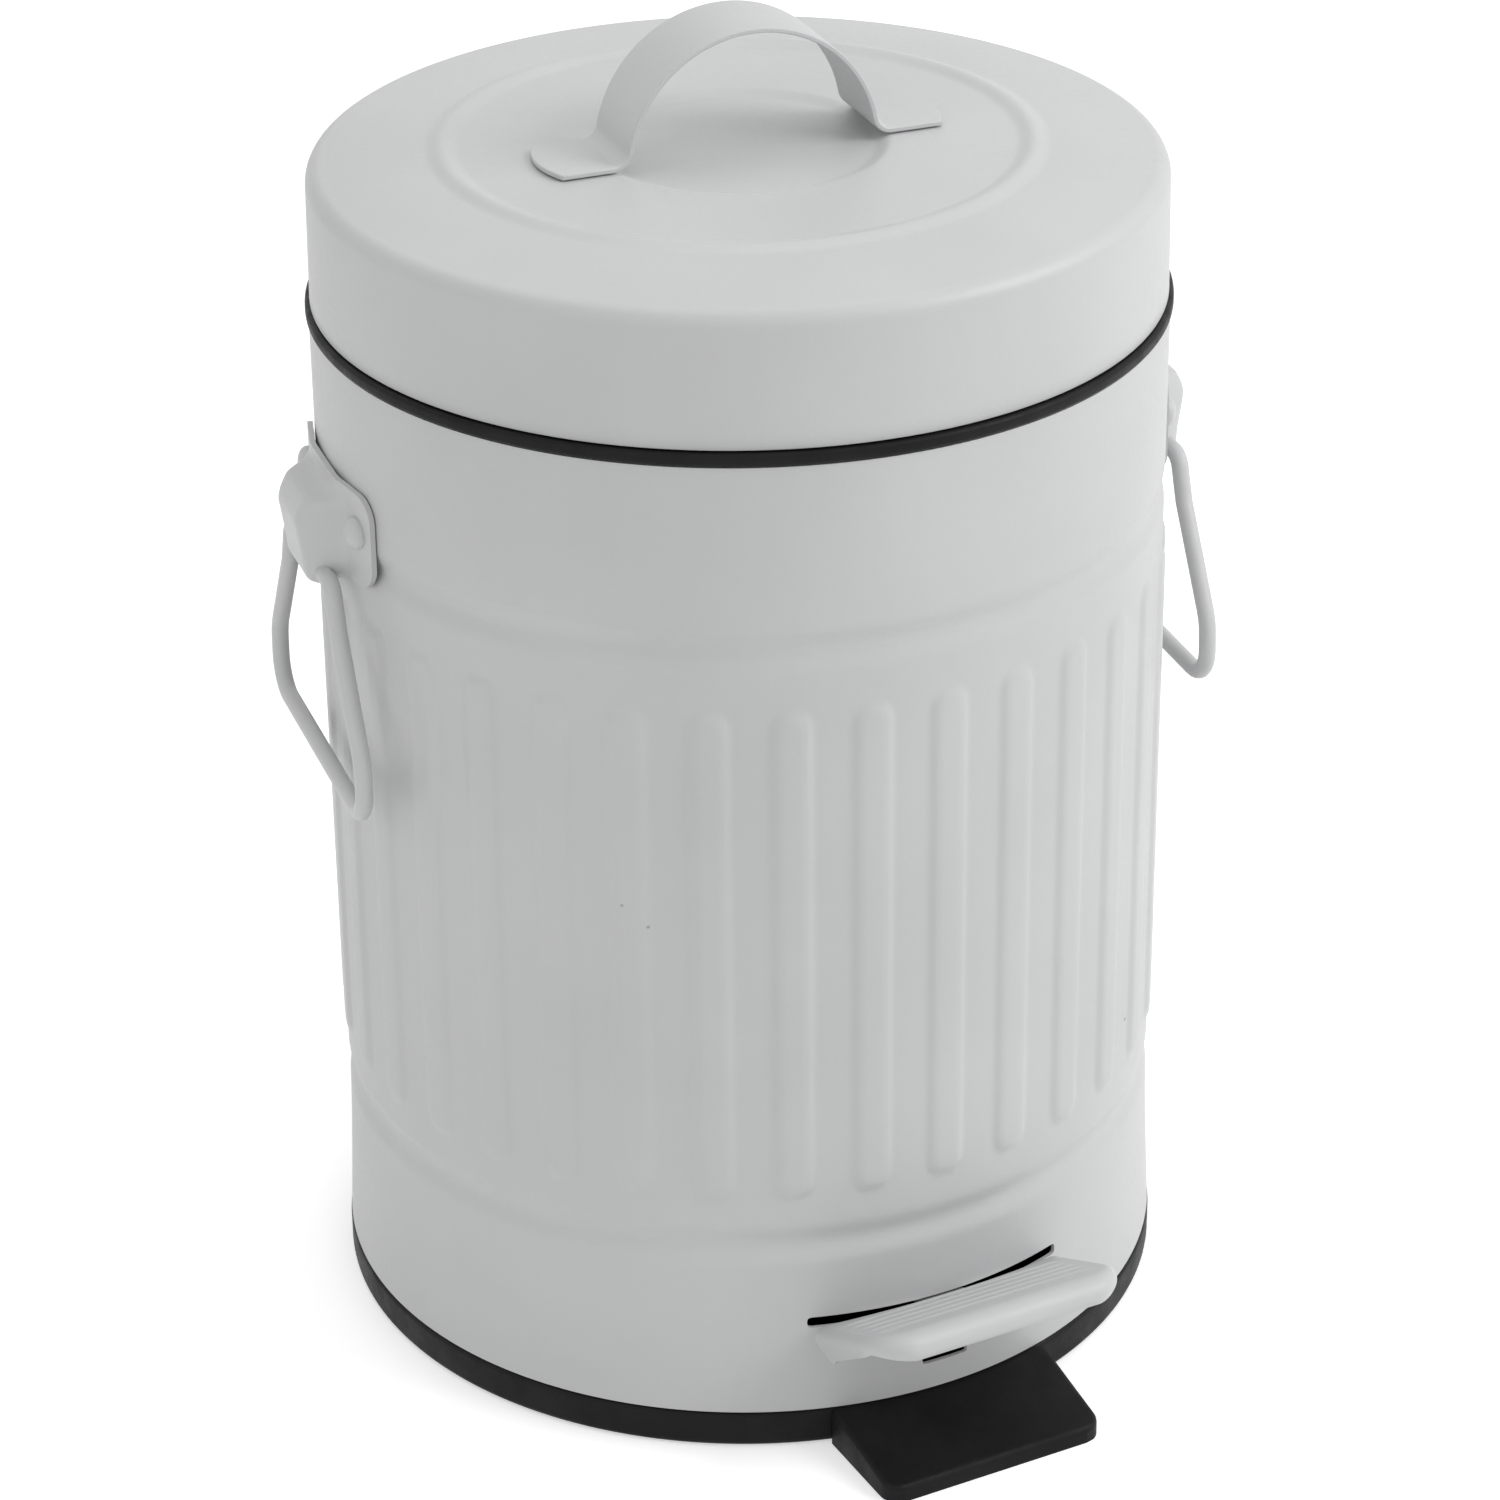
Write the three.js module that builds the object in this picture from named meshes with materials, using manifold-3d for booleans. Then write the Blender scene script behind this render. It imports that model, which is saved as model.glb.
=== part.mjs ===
// A small round pedal bin in painted sheet steel: a ribbed body on a black base, a black rim
// ring, a hinged lid with a strap handle, a foot pedal that lifts the lid through a push rod,
// two swinging wire handles and an inner bucket.
// Millimetres, +Z up. The origin is on the floor, on the body's axis. The pedal points to -Y.

import * as THREE from 'three';
import { mergeVertices } from 'three/addons/utils/BufferGeometryUtils.js';
import Module from 'manifold-3d';

const wasm = await Module();
wasm.setup();

const RAD = Math.PI / 180;

// ---- Clearances ----
const SEAT_GAP = 0.3; // a piece resting on or clipped to another
const RUN_GAP = 0.35; // a pin or wire turning in a hole
const SIDE_GAP = 0.5; // a moving cheek beside a fixed one
const OVERRUN = 2; // how far a cutter reaches past the wall that it cuts

// ---- Body ----
const BODY_R = 84;
const BODY_SHEET = 0.8;
const BODY_FLARE = 1.3; // how much wider the sheet is at its foot, below the lower groove
const BODY_TOP_Z = 213.2;
const GROOVE_UPPER_DROP = 37.2; // from the body's top edge
const GROOVE_LOWER_Z = 46.6;
const GROOVE_WIDTH = 8;
const GROOVE_DEPTH = 1.2;

// ---- Ribs ----
const RIB_COUNT = 34;
const RIB_WIDTH = 8.8;
const RIB_CREST = 5.2;
const RIB_HEIGHT = 0.75;
const RIB_LOW_GAP = 10.2; // from the lower groove's middle
const RIB_HIGH_GAP = 11.5; // from the upper groove's middle
const RIB_END = 3; // length of a rib's sloping end
const RIB_BORE_FACETS = 2; // facets of the body's inside for each rib

// ---- Pedal slot in the body ----
const SLOT_HALF = 28.8;
const SLOT_LOW_Z = 11.5;
const SLOT_HIGH_Z = 30;
const SLOT_CORNER = 2.5;

// ---- Base ----
const BASE_LEDGE = 0.2; // how far the base stands out past the body's foot
const BASE_HEIGHT = 8;
const BASE_FLOOR = 2.2;
const BASE_EDGE = 1.4; // bevel around the foot
const SPIGOT_HEIGHT = 3; // collar that the body drops over
const SPIGOT_WALL = 1.6;
const TONGUE_HALF = 24.5;
const TONGUE_LENGTH = 21; // from the base's edge to the front
const TONGUE_LIP = 3; // height of the front edge
const TONGUE_CORNER = 4;
const TONGUE_BEVEL = 1.5;
const LUG_WALL = 3;
const LUG_ROOT = 7; // half the length of a lug's foot

// ---- Rim ring ----
const RING_LEDGE = 0.6; // how far the ring stands out past the body
const RING_THICK = 2.6;
const RING_WIDTH = 8.6;
const RING_GAP_HALF = 9.5; // the ring is open behind, for the lid's arm
const RING_SKIRT_DEPTH = 7;
const RING_SKIRT_WALL = 2.2;

// ---- Lid ----
const LID_INSET = 0.35; // the skirt's lower edge, from the body's side
const LID_TAPER = 0.35; // how much narrower the skirt is at its top
const LID_SHEET = 0.7;
const LID_RISE = 26.5; // from the lower edge to the top of the rounded edge
const LID_FILLET = 3.5;
const LID_CROWN = 2.1; // from the rounded edge up to the middle
const LID_BEAD_R = 57;
const LID_BEAD_HALF = 2.6;
const LID_BEAD_HEIGHT = 0.9;
const LID_DISH_R = 28;
const LID_DISH_SLOPE = 3;
const LID_DISH_DEPTH = 1;
const ROUND = 48; // facets of the turned pieces

// ---- Strap handle on the lid ----
const STRAP_WIDTH = 18;
const STRAP_THICK = 1;
const STRAP_ARCH_R = 25; // inside the arch
const STRAP_BEND_R = 3;
const STRAP_FOOT_END = 41;
const STRAP_END_BULGE = 2.2; // how far the foot's end bows out
const STRAP_TURN = -6 * RAD; // seen from above, from the pedal's crosswise line

// ---- Lid hinge ----
const HINGE_OFFSET = 6; // pin, from the body's side
const HINGE_PIN_R = 1.5;
const HINGE_HEAD_R = 2.6;
const HINGE_HEAD = 1;
const KNUCKLE_R = 3.6;
const KNUCKLE_LEAN = 18 * RAD; // turn at which a knuckle runs out into its cheek
const LEAF_THICK = 1.2;
const LEAF_HALF_ANGLE = 10 * RAD;
const BODY_LEAF_DROP = 7.7; // top edge, from the body's top edge
const BODY_LEAF_HEIGHT = 21.5;
const BODY_RIVET_RISE = 5.375; // from the leaf's lower edge
const LID_LEAF_RISE = 3.1; // lower edge, from the lid's lower edge
const LID_LEAF_HEIGHT = 17.5;
const LID_RIVET_DROP = 5.25; // from the leaf's top edge
const WEB_HALF = 2.5; // half the thickness of the lid leaf's web and arm
const CHEEK_THICK = 1.6;
const LEAF_RIVET_ANGLE = 6.6 * RAD;

// ---- Push rod and its motion ----
const LID_OPEN = 75 * RAD;
const ROD_R = 1.5;
const ROD_INSET = 6; // from the body's side
const ROD_X = 6.5;
const ROD_BEND_R = 3;
const ROD_HOOK_X = -4.4; // where a hook's end stands out past the lug
const ROD_RATE = 1.12; // rod travel for each radian of lid and mm of hinge arm
const ARM_SLOT_EASE = 0.027; // slack of the arm's slot for each mm of hinge arm
const ARM_WALL = 1.6; // metal around the arm's slot
const GUIDE_Z = 118;
const GUIDE_THICK = 1.2;
const GUIDE_HEIGHT = 12;
const GUIDE_WIDTH = 12;
const GUIDE_REACH = 8;

// ---- Pedal ----
const PIVOT_Y = -15;
const PIVOT_Z = 17;
const PIVOT_R = 2;
const TREAD_HALF = 28.2;
const TREAD_SHEET = 1.2;
const TREAD_SLOPE = Math.atan(0.48);
const TREAD_SLOT_GAP = 3; // from the slot's top down to the tread, where its sides leave the slot
const TREAD_NOSE_R = 4;
const TREAD_NOSE_REACH = 21; // centre of the rounded nose, from the body's side
const TREAD_NOSE_TURN = 150 * RAD;
const SKIRT_RISE = 1; // the skirts' lower edge, above the tread where it leaves the slot
const SKIRT_REACH = 13; // front end of the skirts' lower edge, from the body's side
const SHANK_HALF = 9;
const TREAD_WING_INSET = 8; // where the wide tread narrows to its shank, from the body's side
const SHANK_LENGTH = 24;
const LEVER_HALF = 8;
const LEVER_THICK = 2;
const LEVER_KNEE = 16; // from the wide tread's rear edge
const LEVER_FRONT = 3; // the same for the lever's front end
const LEVER_NECK = 18; // length of the lever's narrow end, at the rod
const LEVER_LUG_R = 3.6;
const LEVER_HUB_R = 4.2;
const EYE_ROUND = 0.99; // corner radius of the rod's eye, as a share of its half height
const PEDAL_RIVET_X = 4.6;
const PEDAL_RIVET_INSET = 9.5; // from the wide tread's rear edge

// ---- Rivets ----
const RIVET_R = 1.3;
const RIVET_HEAD_R = 3.1;
const RIVET_DOME = 2.2;
const RIVET_TAIL_R = 2.2;
const RIVET_TAIL = 0.8;
const SMALL_HEAD_R = 2.4;
const SMALL_DOME = 1.2;

// ---- Side handles ----
const HANDLE_TURN = -8.3 * RAD; // seen from above, from the pedal's crosswise line
const EAR_SHEET = 1.1;
const EAR_DROP = 22.2; // top edge, from the body's top edge
const EAR_HEIGHT = 19;
const EAR_HALF = 23;
const EAR_CORNER = 5;
const EAR_RIVET_U = 17.6;
const EAR_RIVET_DROP = 8; // from the ear's top edge
const EAR_STEPS = [0, 0.3, 0.7]; // columns of the ear's grid, as shares of its corner
const HOOD_STEPS = [-0.1, 0.27, 0.64, 1]; // the same, as shares of the hood's slope
const EAR_ROWS = 9; // steps of the ear's grid from top to bottom
const HOOD_FLAT = 8; // half the width of the hood's full height
const HOOD_FOOT = 13.5; // where the hood has run out into the flanges
const HOOD_TUCK = 112 * RAD; // how far the hood's edge curls under the wire
const HOOD_SHOULDER = [[0.45, 0.13], [0.87, 0.38], [1.06, 0.68]]; // shares of bulge and of fall
const HOOD_FLARE = 0.8; // how much wider the wire's way is at the hood's ends
const BAIL_R = 1.75;
const BAIL_AXIS_OFFSET = 4.3; // from the body's side
const BAIL_AXIS_DROP = 19.5; // from the ear's top edge
const BAIL_CORNERS = [[15.2, 0, 3.6], [18.6, -9, 9], [32, -30, 11], [32.6, -43, 6.5]]; // u, z, bend
const BAIL_BUTT = 0.4; // half the gap between the wire's two ends

// ---- Inner bucket ----
const BUCKET_MARGIN = 8; // from the push rod's line
const BUCKET_TAPER = 6; // how much narrower the floor is
const BUCKET_WALL = 1.5;
const BUCKET_LOW_Z = 34;
const BUCKET_LAP = 4; // how far the flange lies over the rim ring
const BUCKET_FLAT_GAP = 0.6; // from the wall back to the flange's straight rear edge
const BUCKET_BAIL_R = 1.25;
const BUCKET_BAIL_MARGIN = 2.5; // hoop's middle line, from the bucket's wall
const BUCKET_EAR_MARGIN = 5.2; // ear's inner face, from the bucket's wall
const BUCKET_EAR_WALL = 1.6;
const BUCKET_EAR_HALF = 4;
const BUCKET_BAIL_TIP = 9; // the hoop's ends, from the bucket's wall
const BUCKET_BAIL_BEND = 2.5;
const BUCKET_BAIL_TRIM = 1.5; // the hoop stops this many bends short of its ends
const BUCKET_BAIL_EASE = 0.3; // share of the bend that rounds its inner corner

// ---- Sizes that follow ----
const BODY_BORE_R = BODY_R - BODY_SHEET;
const BODY_FOOT_R = BODY_R + BODY_FLARE;
const BODY_FOOT_Z = BASE_HEIGHT + SEAT_GAP;
const GROOVE_UPPER_Z = BODY_TOP_Z - GROOVE_UPPER_DROP;
const RIB_LOW_Z = GROOVE_LOWER_Z + RIB_LOW_GAP;
const RIB_HIGH_Z = GROOVE_UPPER_Z - RIB_HIGH_GAP;
const BASE_R = BODY_FOOT_R + BASE_LEDGE;
const TONGUE_REACH = BASE_R + TONGUE_LENGTH;
const RING_R = BODY_R + RING_LEDGE;
const RING_BORE_R = RING_R - RING_WIDTH;
const RING_LOW_Z = BODY_TOP_Z + SEAT_GAP;
const RING_HIGH_Z = RING_LOW_Z + RING_THICK;
const LID_R = BODY_R - LID_INSET;
const LID_TOP_R = LID_R - LID_TAPER;
const LID_LOW_Z = RING_HIGH_Z + SEAT_GAP;
const LID_EDGE_Z = LID_LOW_Z + LID_RISE;
const LID_PLATEAU_Z = LID_EDGE_Z + LID_CROWN;
const HINGE_Y = BODY_R + HINGE_OFFSET;
const HINGE_Z = LID_LOW_Z - SEAT_GAP;
const BODY_LEAF_HIGH_Z = BODY_TOP_Z - BODY_LEAF_DROP;
const BODY_LEAF_LOW_Z = BODY_LEAF_HIGH_Z - BODY_LEAF_HEIGHT;
const LID_LEAF_LOW_Z = LID_LOW_Z + LID_LEAF_RISE;
const LID_LEAF_HIGH_Z = LID_LEAF_LOW_Z + LID_LEAF_HEIGHT;
const ROD_Y = BODY_R - ROD_INSET;
const HINGE_ARM = HINGE_Y - ROD_Y;
const ROD_TRAVEL = ROD_RATE * HINGE_ARM * LID_OPEN;
const ROD_TOP_Z = HINGE_Z - ROD_TRAVEL / 2;
const LEVER_REACH = ROD_Y - PIVOT_Y;
const ROD_LOW_Z = PIVOT_Z - ROD_TRAVEL / 2;
const TREAD_SLOT_Z = SLOT_HIGH_Z - TREAD_SLOT_GAP;
const TREAD_NOSE_Y = -BODY_R - TREAD_NOSE_REACH;
const TREAD_WING_Y = TREAD_WING_INSET - BODY_R;
const SKIRT_LOW_Z = TREAD_SLOT_Z + SKIRT_RISE;
const SKIRT_FRONT_Y = -BODY_R - SKIRT_REACH;
const SHANK_END_Y = TREAD_WING_Y + SHANK_LENGTH;
const LEVER_KNEE_Y = TREAD_WING_Y + LEVER_KNEE;
const LEVER_FRONT_Y = TREAD_WING_Y + LEVER_FRONT;
const LEVER_NECK_Y = ROD_Y - LEVER_NECK;
const PEDAL_RIVET_Y = TREAD_WING_Y + PEDAL_RIVET_INSET;
const EAR_HIGH_Z = BODY_TOP_Z - EAR_DROP;
const EAR_LOW_Z = EAR_HIGH_Z - EAR_HEIGHT;
const EAR_RIVET_Z = EAR_HIGH_Z - EAR_RIVET_DROP;
const BAIL_AXIS_RHO = BODY_R + BAIL_AXIS_OFFSET;
const BAIL_AXIS_Z = EAR_HIGH_Z - BAIL_AXIS_DROP;
const BUCKET_R = ROD_Y - BUCKET_MARGIN;
const BUCKET_FLOOR_R = BUCKET_R - BUCKET_TAPER;
const BUCKET_FLANGE_R = RING_BORE_R + BUCKET_LAP;
const BUCKET_FLANGE_Z = RING_HIGH_Z + SEAT_GAP;
const BUCKET_TOP_Z = BUCKET_FLANGE_Z + BUCKET_WALL;
const BUCKET_BAIL_Z = BUCKET_TOP_Z + SEAT_GAP + BUCKET_BAIL_R;

// ---- Materials ----
const paint = () => new THREE.MeshStandardMaterial({ color: 0xc8c9cb, roughness: 0.42, metalness: 0.1 });
const black = () => new THREE.MeshStandardMaterial({ color: 0x1c1c1d, roughness: 0.55, metalness: 0 });
const plastic = () => new THREE.MeshStandardMaterial({ color: 0x4a4c4f, roughness: 0.5, metalness: 0 });
const zinc = () => new THREE.MeshStandardMaterial({ color: 0xb9bcbf, roughness: 0.35, metalness: 0.9 });

// ---- Geometry helpers ----

// A closed geometry becomes a solid: shared corners merged, empty triangles dropped, faces out.
function solid(source) {
  const plain = source.clone();
  for (const name of Object.keys(plain.attributes)) {
    if (name !== 'position') {
      plain.deleteAttribute(name);
    }
  }
  const merged = mergeVertices(plain, 1e-4);
  const points = merged.attributes.position.array;
  const corners = [];
  let volume = 0;
  for (let i = 0; i < merged.index.count; i += 3) {
    const [a, b, c] = [merged.index.getX(i), merged.index.getX(i + 1), merged.index.getX(i + 2)];
    if (a !== b && b !== c && c !== a) {
      corners.push(a, b, c);
      const [p, q, r] = [a, b, c].map((n) => new THREE.Vector3().fromArray(points, n * 3));
      volume += p.dot(q.cross(r));
    }
  }
  if (volume < 0) {
    corners.reverse();
  }
  return new wasm.Manifold(new wasm.Mesh({
    numProp: 3,
    vertProperties: new Float32Array(points),
    triVerts: new Uint32Array(corners),
  }));
}

function mesh(name, body, material) {
  const { vertProperties, triVerts } = body.getMesh();
  const geometry = new THREE.BufferGeometry();
  geometry.setAttribute('position', new THREE.BufferAttribute(vertProperties, 3));
  geometry.setIndex(new THREE.BufferAttribute(triVerts, 1));
  geometry.computeVertexNormals();
  const result = new THREE.Mesh(geometry, material);
  result.name = name;
  return result;
}

function cut(body, ...cutters) {
  return cutters.reduce((rest, cutter) => rest.subtract(cutter), body);
}

function join(...bodies) {
  return bodies.reduce((whole, body) => whole.add(body));
}

// A profile of [radius, z] points turned about the Z axis.
function turned(profile, facets = ROUND) {
  const points = profile.map(([r, z]) => new THREE.Vector2(r, z));
  return new THREE.LatheGeometry(points, facets).rotateX(Math.PI / 2);
}

function outline(points) {
  return new THREE.Shape(points.map(([a, b]) => new THREE.Vector2(a, b)));
}

// A [y, z] outline carried along X from low to high.
function sidePrism(points, low, high) {
  const geometry = new THREE.ExtrudeGeometry(outline(points), { depth: high - low, bevelEnabled: false });
  const axes = new THREE.Matrix4().makeBasis(
    new THREE.Vector3(0, 1, 0), new THREE.Vector3(0, 0, 1), new THREE.Vector3(1, 0, 0));
  return solid(geometry.applyMatrix4(axes).translate(low, 0, 0));
}

// An [x, y] outline carried along Z from low to high.
function planPrism(points, low, high) {
  const geometry = new THREE.ExtrudeGeometry(outline(points), { depth: high - low, bevelEnabled: false });
  return solid(geometry.translate(0, 0, low));
}

// An [x, z] outline carried along Y from low to high.
function frontPrism(points, low, high) {
  const geometry = new THREE.ExtrudeGeometry(outline(points), { depth: high - low, bevelEnabled: false });
  return solid(geometry.rotateX(Math.PI / 2).translate(0, high, 0));
}

function box(low, high) {
  const size = high.map((value, i) => value - low[i]);
  const centre = high.map((value, i) => (value + low[i]) / 2);
  return solid(new THREE.BoxGeometry(...size).translate(...centre));
}

function arc(centreA, centreB, radius, from, to, steps) {
  return Array.from({ length: steps + 1 }, (_, i) => {
    const angle = from + ((to - from) * i) / steps;
    return [centreA + radius * Math.cos(angle), centreB + radius * Math.sin(angle)];
  });
}

function roundedBox(lowA, lowB, highA, highB, radius) {
  const quarter = Math.PI / 2;
  const corners = [[highA - radius, highB - radius], [lowA + radius, highB - radius],
    [lowA + radius, lowB + radius], [highA - radius, lowB + radius]];
  return corners.flatMap(([a, b], i) => arc(a, b, radius, i * quarter, (i + 1) * quarter, 4));
}

// A path of [a, b] corners with each inner corner rounded to its radius.
function roundedPath(corners, radii, steps = 5) {
  const path = [corners[0]];
  for (let i = 1; i < corners.length - 1; i += 1) {
    const [before, at, after] = [corners[i - 1], corners[i], corners[i + 1]]
      .map(([a, b]) => new THREE.Vector2(a, b));
    const back = before.clone().sub(at).normalize();
    const ahead = after.clone().sub(at).normalize();
    const half = back.angleTo(ahead) / 2;
    const trim = radii[i - 1] / Math.tan(half);
    const middle = back.clone().add(ahead).normalize();
    const centre = at.clone().addScaledVector(middle, radii[i - 1] / Math.sin(half));
    const start = at.clone().addScaledVector(back, trim).sub(centre);
    const end = at.clone().addScaledVector(ahead, trim).sub(centre);
    let sweep = end.angle() - start.angle();
    sweep -= Math.round(sweep / (2 * Math.PI)) * 2 * Math.PI;
    path.push(...arc(centre.x, centre.y, radii[i - 1], start.angle(), start.angle() + sweep, steps));
  }
  path.push(corners.at(-1));
  return path;
}

// The outline of a sheet of the given thickness bent along an [a, b] path.
function bentSheet(path, thickness) {
  const normals = path.map((point, i) => {
    const [before, after] = [path[Math.max(i - 1, 0)], path[Math.min(i + 1, path.length - 1)]];
    const along = new THREE.Vector2(after[0] - before[0], after[1] - before[1]).normalize();
    return [-along.y, along.x];
  });
  const side = (sign) => path.map(([a, b], i) => [
    a + (sign * normals[i][0] * thickness) / 2, b + (sign * normals[i][1] * thickness) / 2]);
  return [...side(1), ...side(-1).reverse()];
}

// A path that runs straight from each of its points to the next.
class CornerPath extends THREE.Curve {
  constructor(points) {
    super();
    this.points = points.map((p) => new THREE.Vector3(...p));
  }

  getPoint(t, target = new THREE.Vector3()) {
    const last = this.points.length - 1;
    const place = THREE.MathUtils.clamp(t, 0, 1) * last;
    const from = Math.min(Math.floor(place), last - 1);
    return target.lerpVectors(this.points[from], this.points[from + 1], place - from);
  }

  getUtoTmapping(u) {
    return u;
  }
}

// A round wire along a list of [x, y, z] points.
function wire(points, radius, sides = 8) {
  const ring = arc(0, 0, radius, 0, 2 * Math.PI, sides).slice(0, sides);
  const options = { steps: points.length - 1, extrudePath: new CornerPath(points), curveSegments: sides };
  return solid(new THREE.ExtrudeGeometry(outline(ring), options));
}

// A pin along X about a point in the side plane, from low to high.
function crossPin(y, z, radius, low, high, facets = 20) {
  return sidePrism(arc(y, z, radius, 0, 2 * Math.PI, facets).slice(0, facets), low, high);
}

// A curved plate lying on a radius, from one side angle to the other about the +Y direction.
function curvedPlate(inner, thickness, from, to, low, high) {
  const quarter = Math.PI / 2;
  const outside = arc(0, 0, inner + thickness, quarter - to, quarter - from, 8);
  const inside = arc(0, 0, inner, quarter - to, quarter - from, 8).reverse();
  return planPrism([...outside, ...inside], low, high);
}

// A rivet along +X from the grip's inner face, which starts at x = 0.
function rivet(grip, headRadius, dome) {
  const head = Array.from({ length: 3 }, (_, i) => {
    const angle = (i * Math.PI) / 6;
    return [headRadius * Math.cos(angle), grip + SEAT_GAP + dome * Math.sin(angle)];
  });
  const tail = -SEAT_GAP;
  const profile = [[0, tail - RIVET_TAIL], [RIVET_TAIL_R, tail - RIVET_TAIL], [RIVET_TAIL_R, tail],
    [RIVET_R, tail], [RIVET_R, grip + SEAT_GAP], ...head, [0, grip + SEAT_GAP + dome]];
  return turned(profile, 10).rotateY(Math.PI / 2);
}

// The same place as rivet, wider by the running gap: the hole through every sheet.
function rivetHole(grip) {
  const [low, high] = [-OVERRUN * 2, grip + OVERRUN];
  const profile = [[0, low], [RIVET_R + SEAT_GAP, low], [RIVET_R + SEAT_GAP, high], [0, high]];
  return turned(profile, 12).rotateY(Math.PI / 2);
}

// Moves a geometry made along +X to a radius, a height and a turn about the bin's axis.
function aroundAxis(geometry, radius, z, angle) {
  return geometry.clone().translate(radius, 0, z).rotateZ(angle);
}

// ---- Body ----

function bodyRadius(z) {
  const foot = GROOVE_LOWER_Z - GROOVE_WIDTH / 2;
  if (z >= foot) {
    return BODY_R;
  }
  return BODY_R + ((BODY_FOOT_R - BODY_R) * (foot - z)) / (foot - BODY_FOOT_Z);
}

// Rows of the body's outside: height, share of the groove's depth, share of the rib's height.
function bodyRows() {
  const groove = (z) => [[z - GROOVE_WIDTH / 2, 0, 0], [z - GROOVE_WIDTH / 6, 1, 0],
    [z + GROOVE_WIDTH / 6, 1, 0], [z + GROOVE_WIDTH / 2, 0, 0]];
  return [[BODY_FOOT_Z, 0, 0], ...groove(GROOVE_LOWER_Z),
    [RIB_LOW_Z, 0, 0], [RIB_LOW_Z + RIB_END, 0, 1], [RIB_HIGH_Z - RIB_END, 0, 1], [RIB_HIGH_Z, 0, 0],
    ...groove(GROOVE_UPPER_Z), [BODY_TOP_Z, 0, 0]];
}

// A closed skin over a grid of points that meets itself around the axis: rows run up the
// outside and down the inside.
function ringShell(rows, columns) {
  const positions = rows.flatMap((row) => row.flat());
  const index = [];
  for (let r = 0; r < rows.length; r += 1) {
    const next = (r + 1) % rows.length;
    for (let c = 0; c < columns; c += 1) {
      const side = (c + 1) % columns;
      const [a, b] = [r * columns + c, r * columns + side];
      const [d, e] = [next * columns + c, next * columns + side];
      index.push(a, b, e, a, e, d);
    }
  }
  const geometry = new THREE.BufferGeometry();
  geometry.setAttribute('position', new THREE.Float32BufferAttribute(positions, 3));
  geometry.setIndex(index);
  return solid(geometry);
}

function bodyShell(cutters) {
  const half = RIB_WIDTH / 2 / BODY_R;
  const crest = RIB_CREST / 2 / BODY_R;
  const marks = [[-half, 0], [-crest, 1], [crest, 1], [half, 0]];
  const columns = Array.from({ length: RIB_COUNT }, (_, i) => marks.map(([offset, raised]) => (
    { angle: -Math.PI / 2 + (i * 2 * Math.PI) / RIB_COUNT + offset, raised }))).flat();
  const place = (angle, radius, z) => [radius * Math.cos(angle), radius * Math.sin(angle), z];
  const outside = bodyRows().map(([z, groove, rib]) => columns.map(({ angle, raised }) => place(
    angle, bodyRadius(z) - groove * GROOVE_DEPTH + rib * raised * RIB_HEIGHT, z)));
  const coreRow = (z) => columns.map(({ angle }) => place(angle, BODY_R / 2, z));
  const bore = bodyRows().filter(([, , rib], i, rows) => rib + (rows[i + 1] ?? [0, 0, 0])[2] === 0)
    .map(([z, groove]) => [bodyRadius(z) - groove * GROOVE_DEPTH - BODY_SHEET, z]);
  bore[0][1] -= OVERRUN;
  bore.at(-1)[1] += OVERRUN;
  const inside = solid(turned([[0, bore[0][1]], ...bore, [0, bore.at(-1)[1]]], RIB_COUNT * RIB_BORE_FACETS));
  const slot = frontPrism(roundedBox(-SLOT_HALF, SLOT_LOW_Z, SLOT_HALF, SLOT_HIGH_Z, SLOT_CORNER),
    -BODY_FOOT_R - OVERRUN, -BODY_R / 2);
  const armHalf = WEB_HALF + SIDE_GAP;
  const armDrop = (HINGE_Y - BODY_R) * Math.tan(LID_OPEN / 2) + armHalfHeight() / Math.cos(LID_OPEN / 2);
  const notchLow = [-armHalf, BODY_R / 2, HINGE_Z - armDrop - SIDE_GAP * 2];
  const notch = box(notchLow, [armHalf, BODY_R + OVERRUN, BODY_TOP_Z + OVERRUN]);
  const skin = ringShell([...outside, coreRow(BODY_TOP_Z), coreRow(BODY_FOOT_Z)], columns.length);
  return cut(skin, inside, slot, notch, ...cutters);
}

// ---- Base ----

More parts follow.
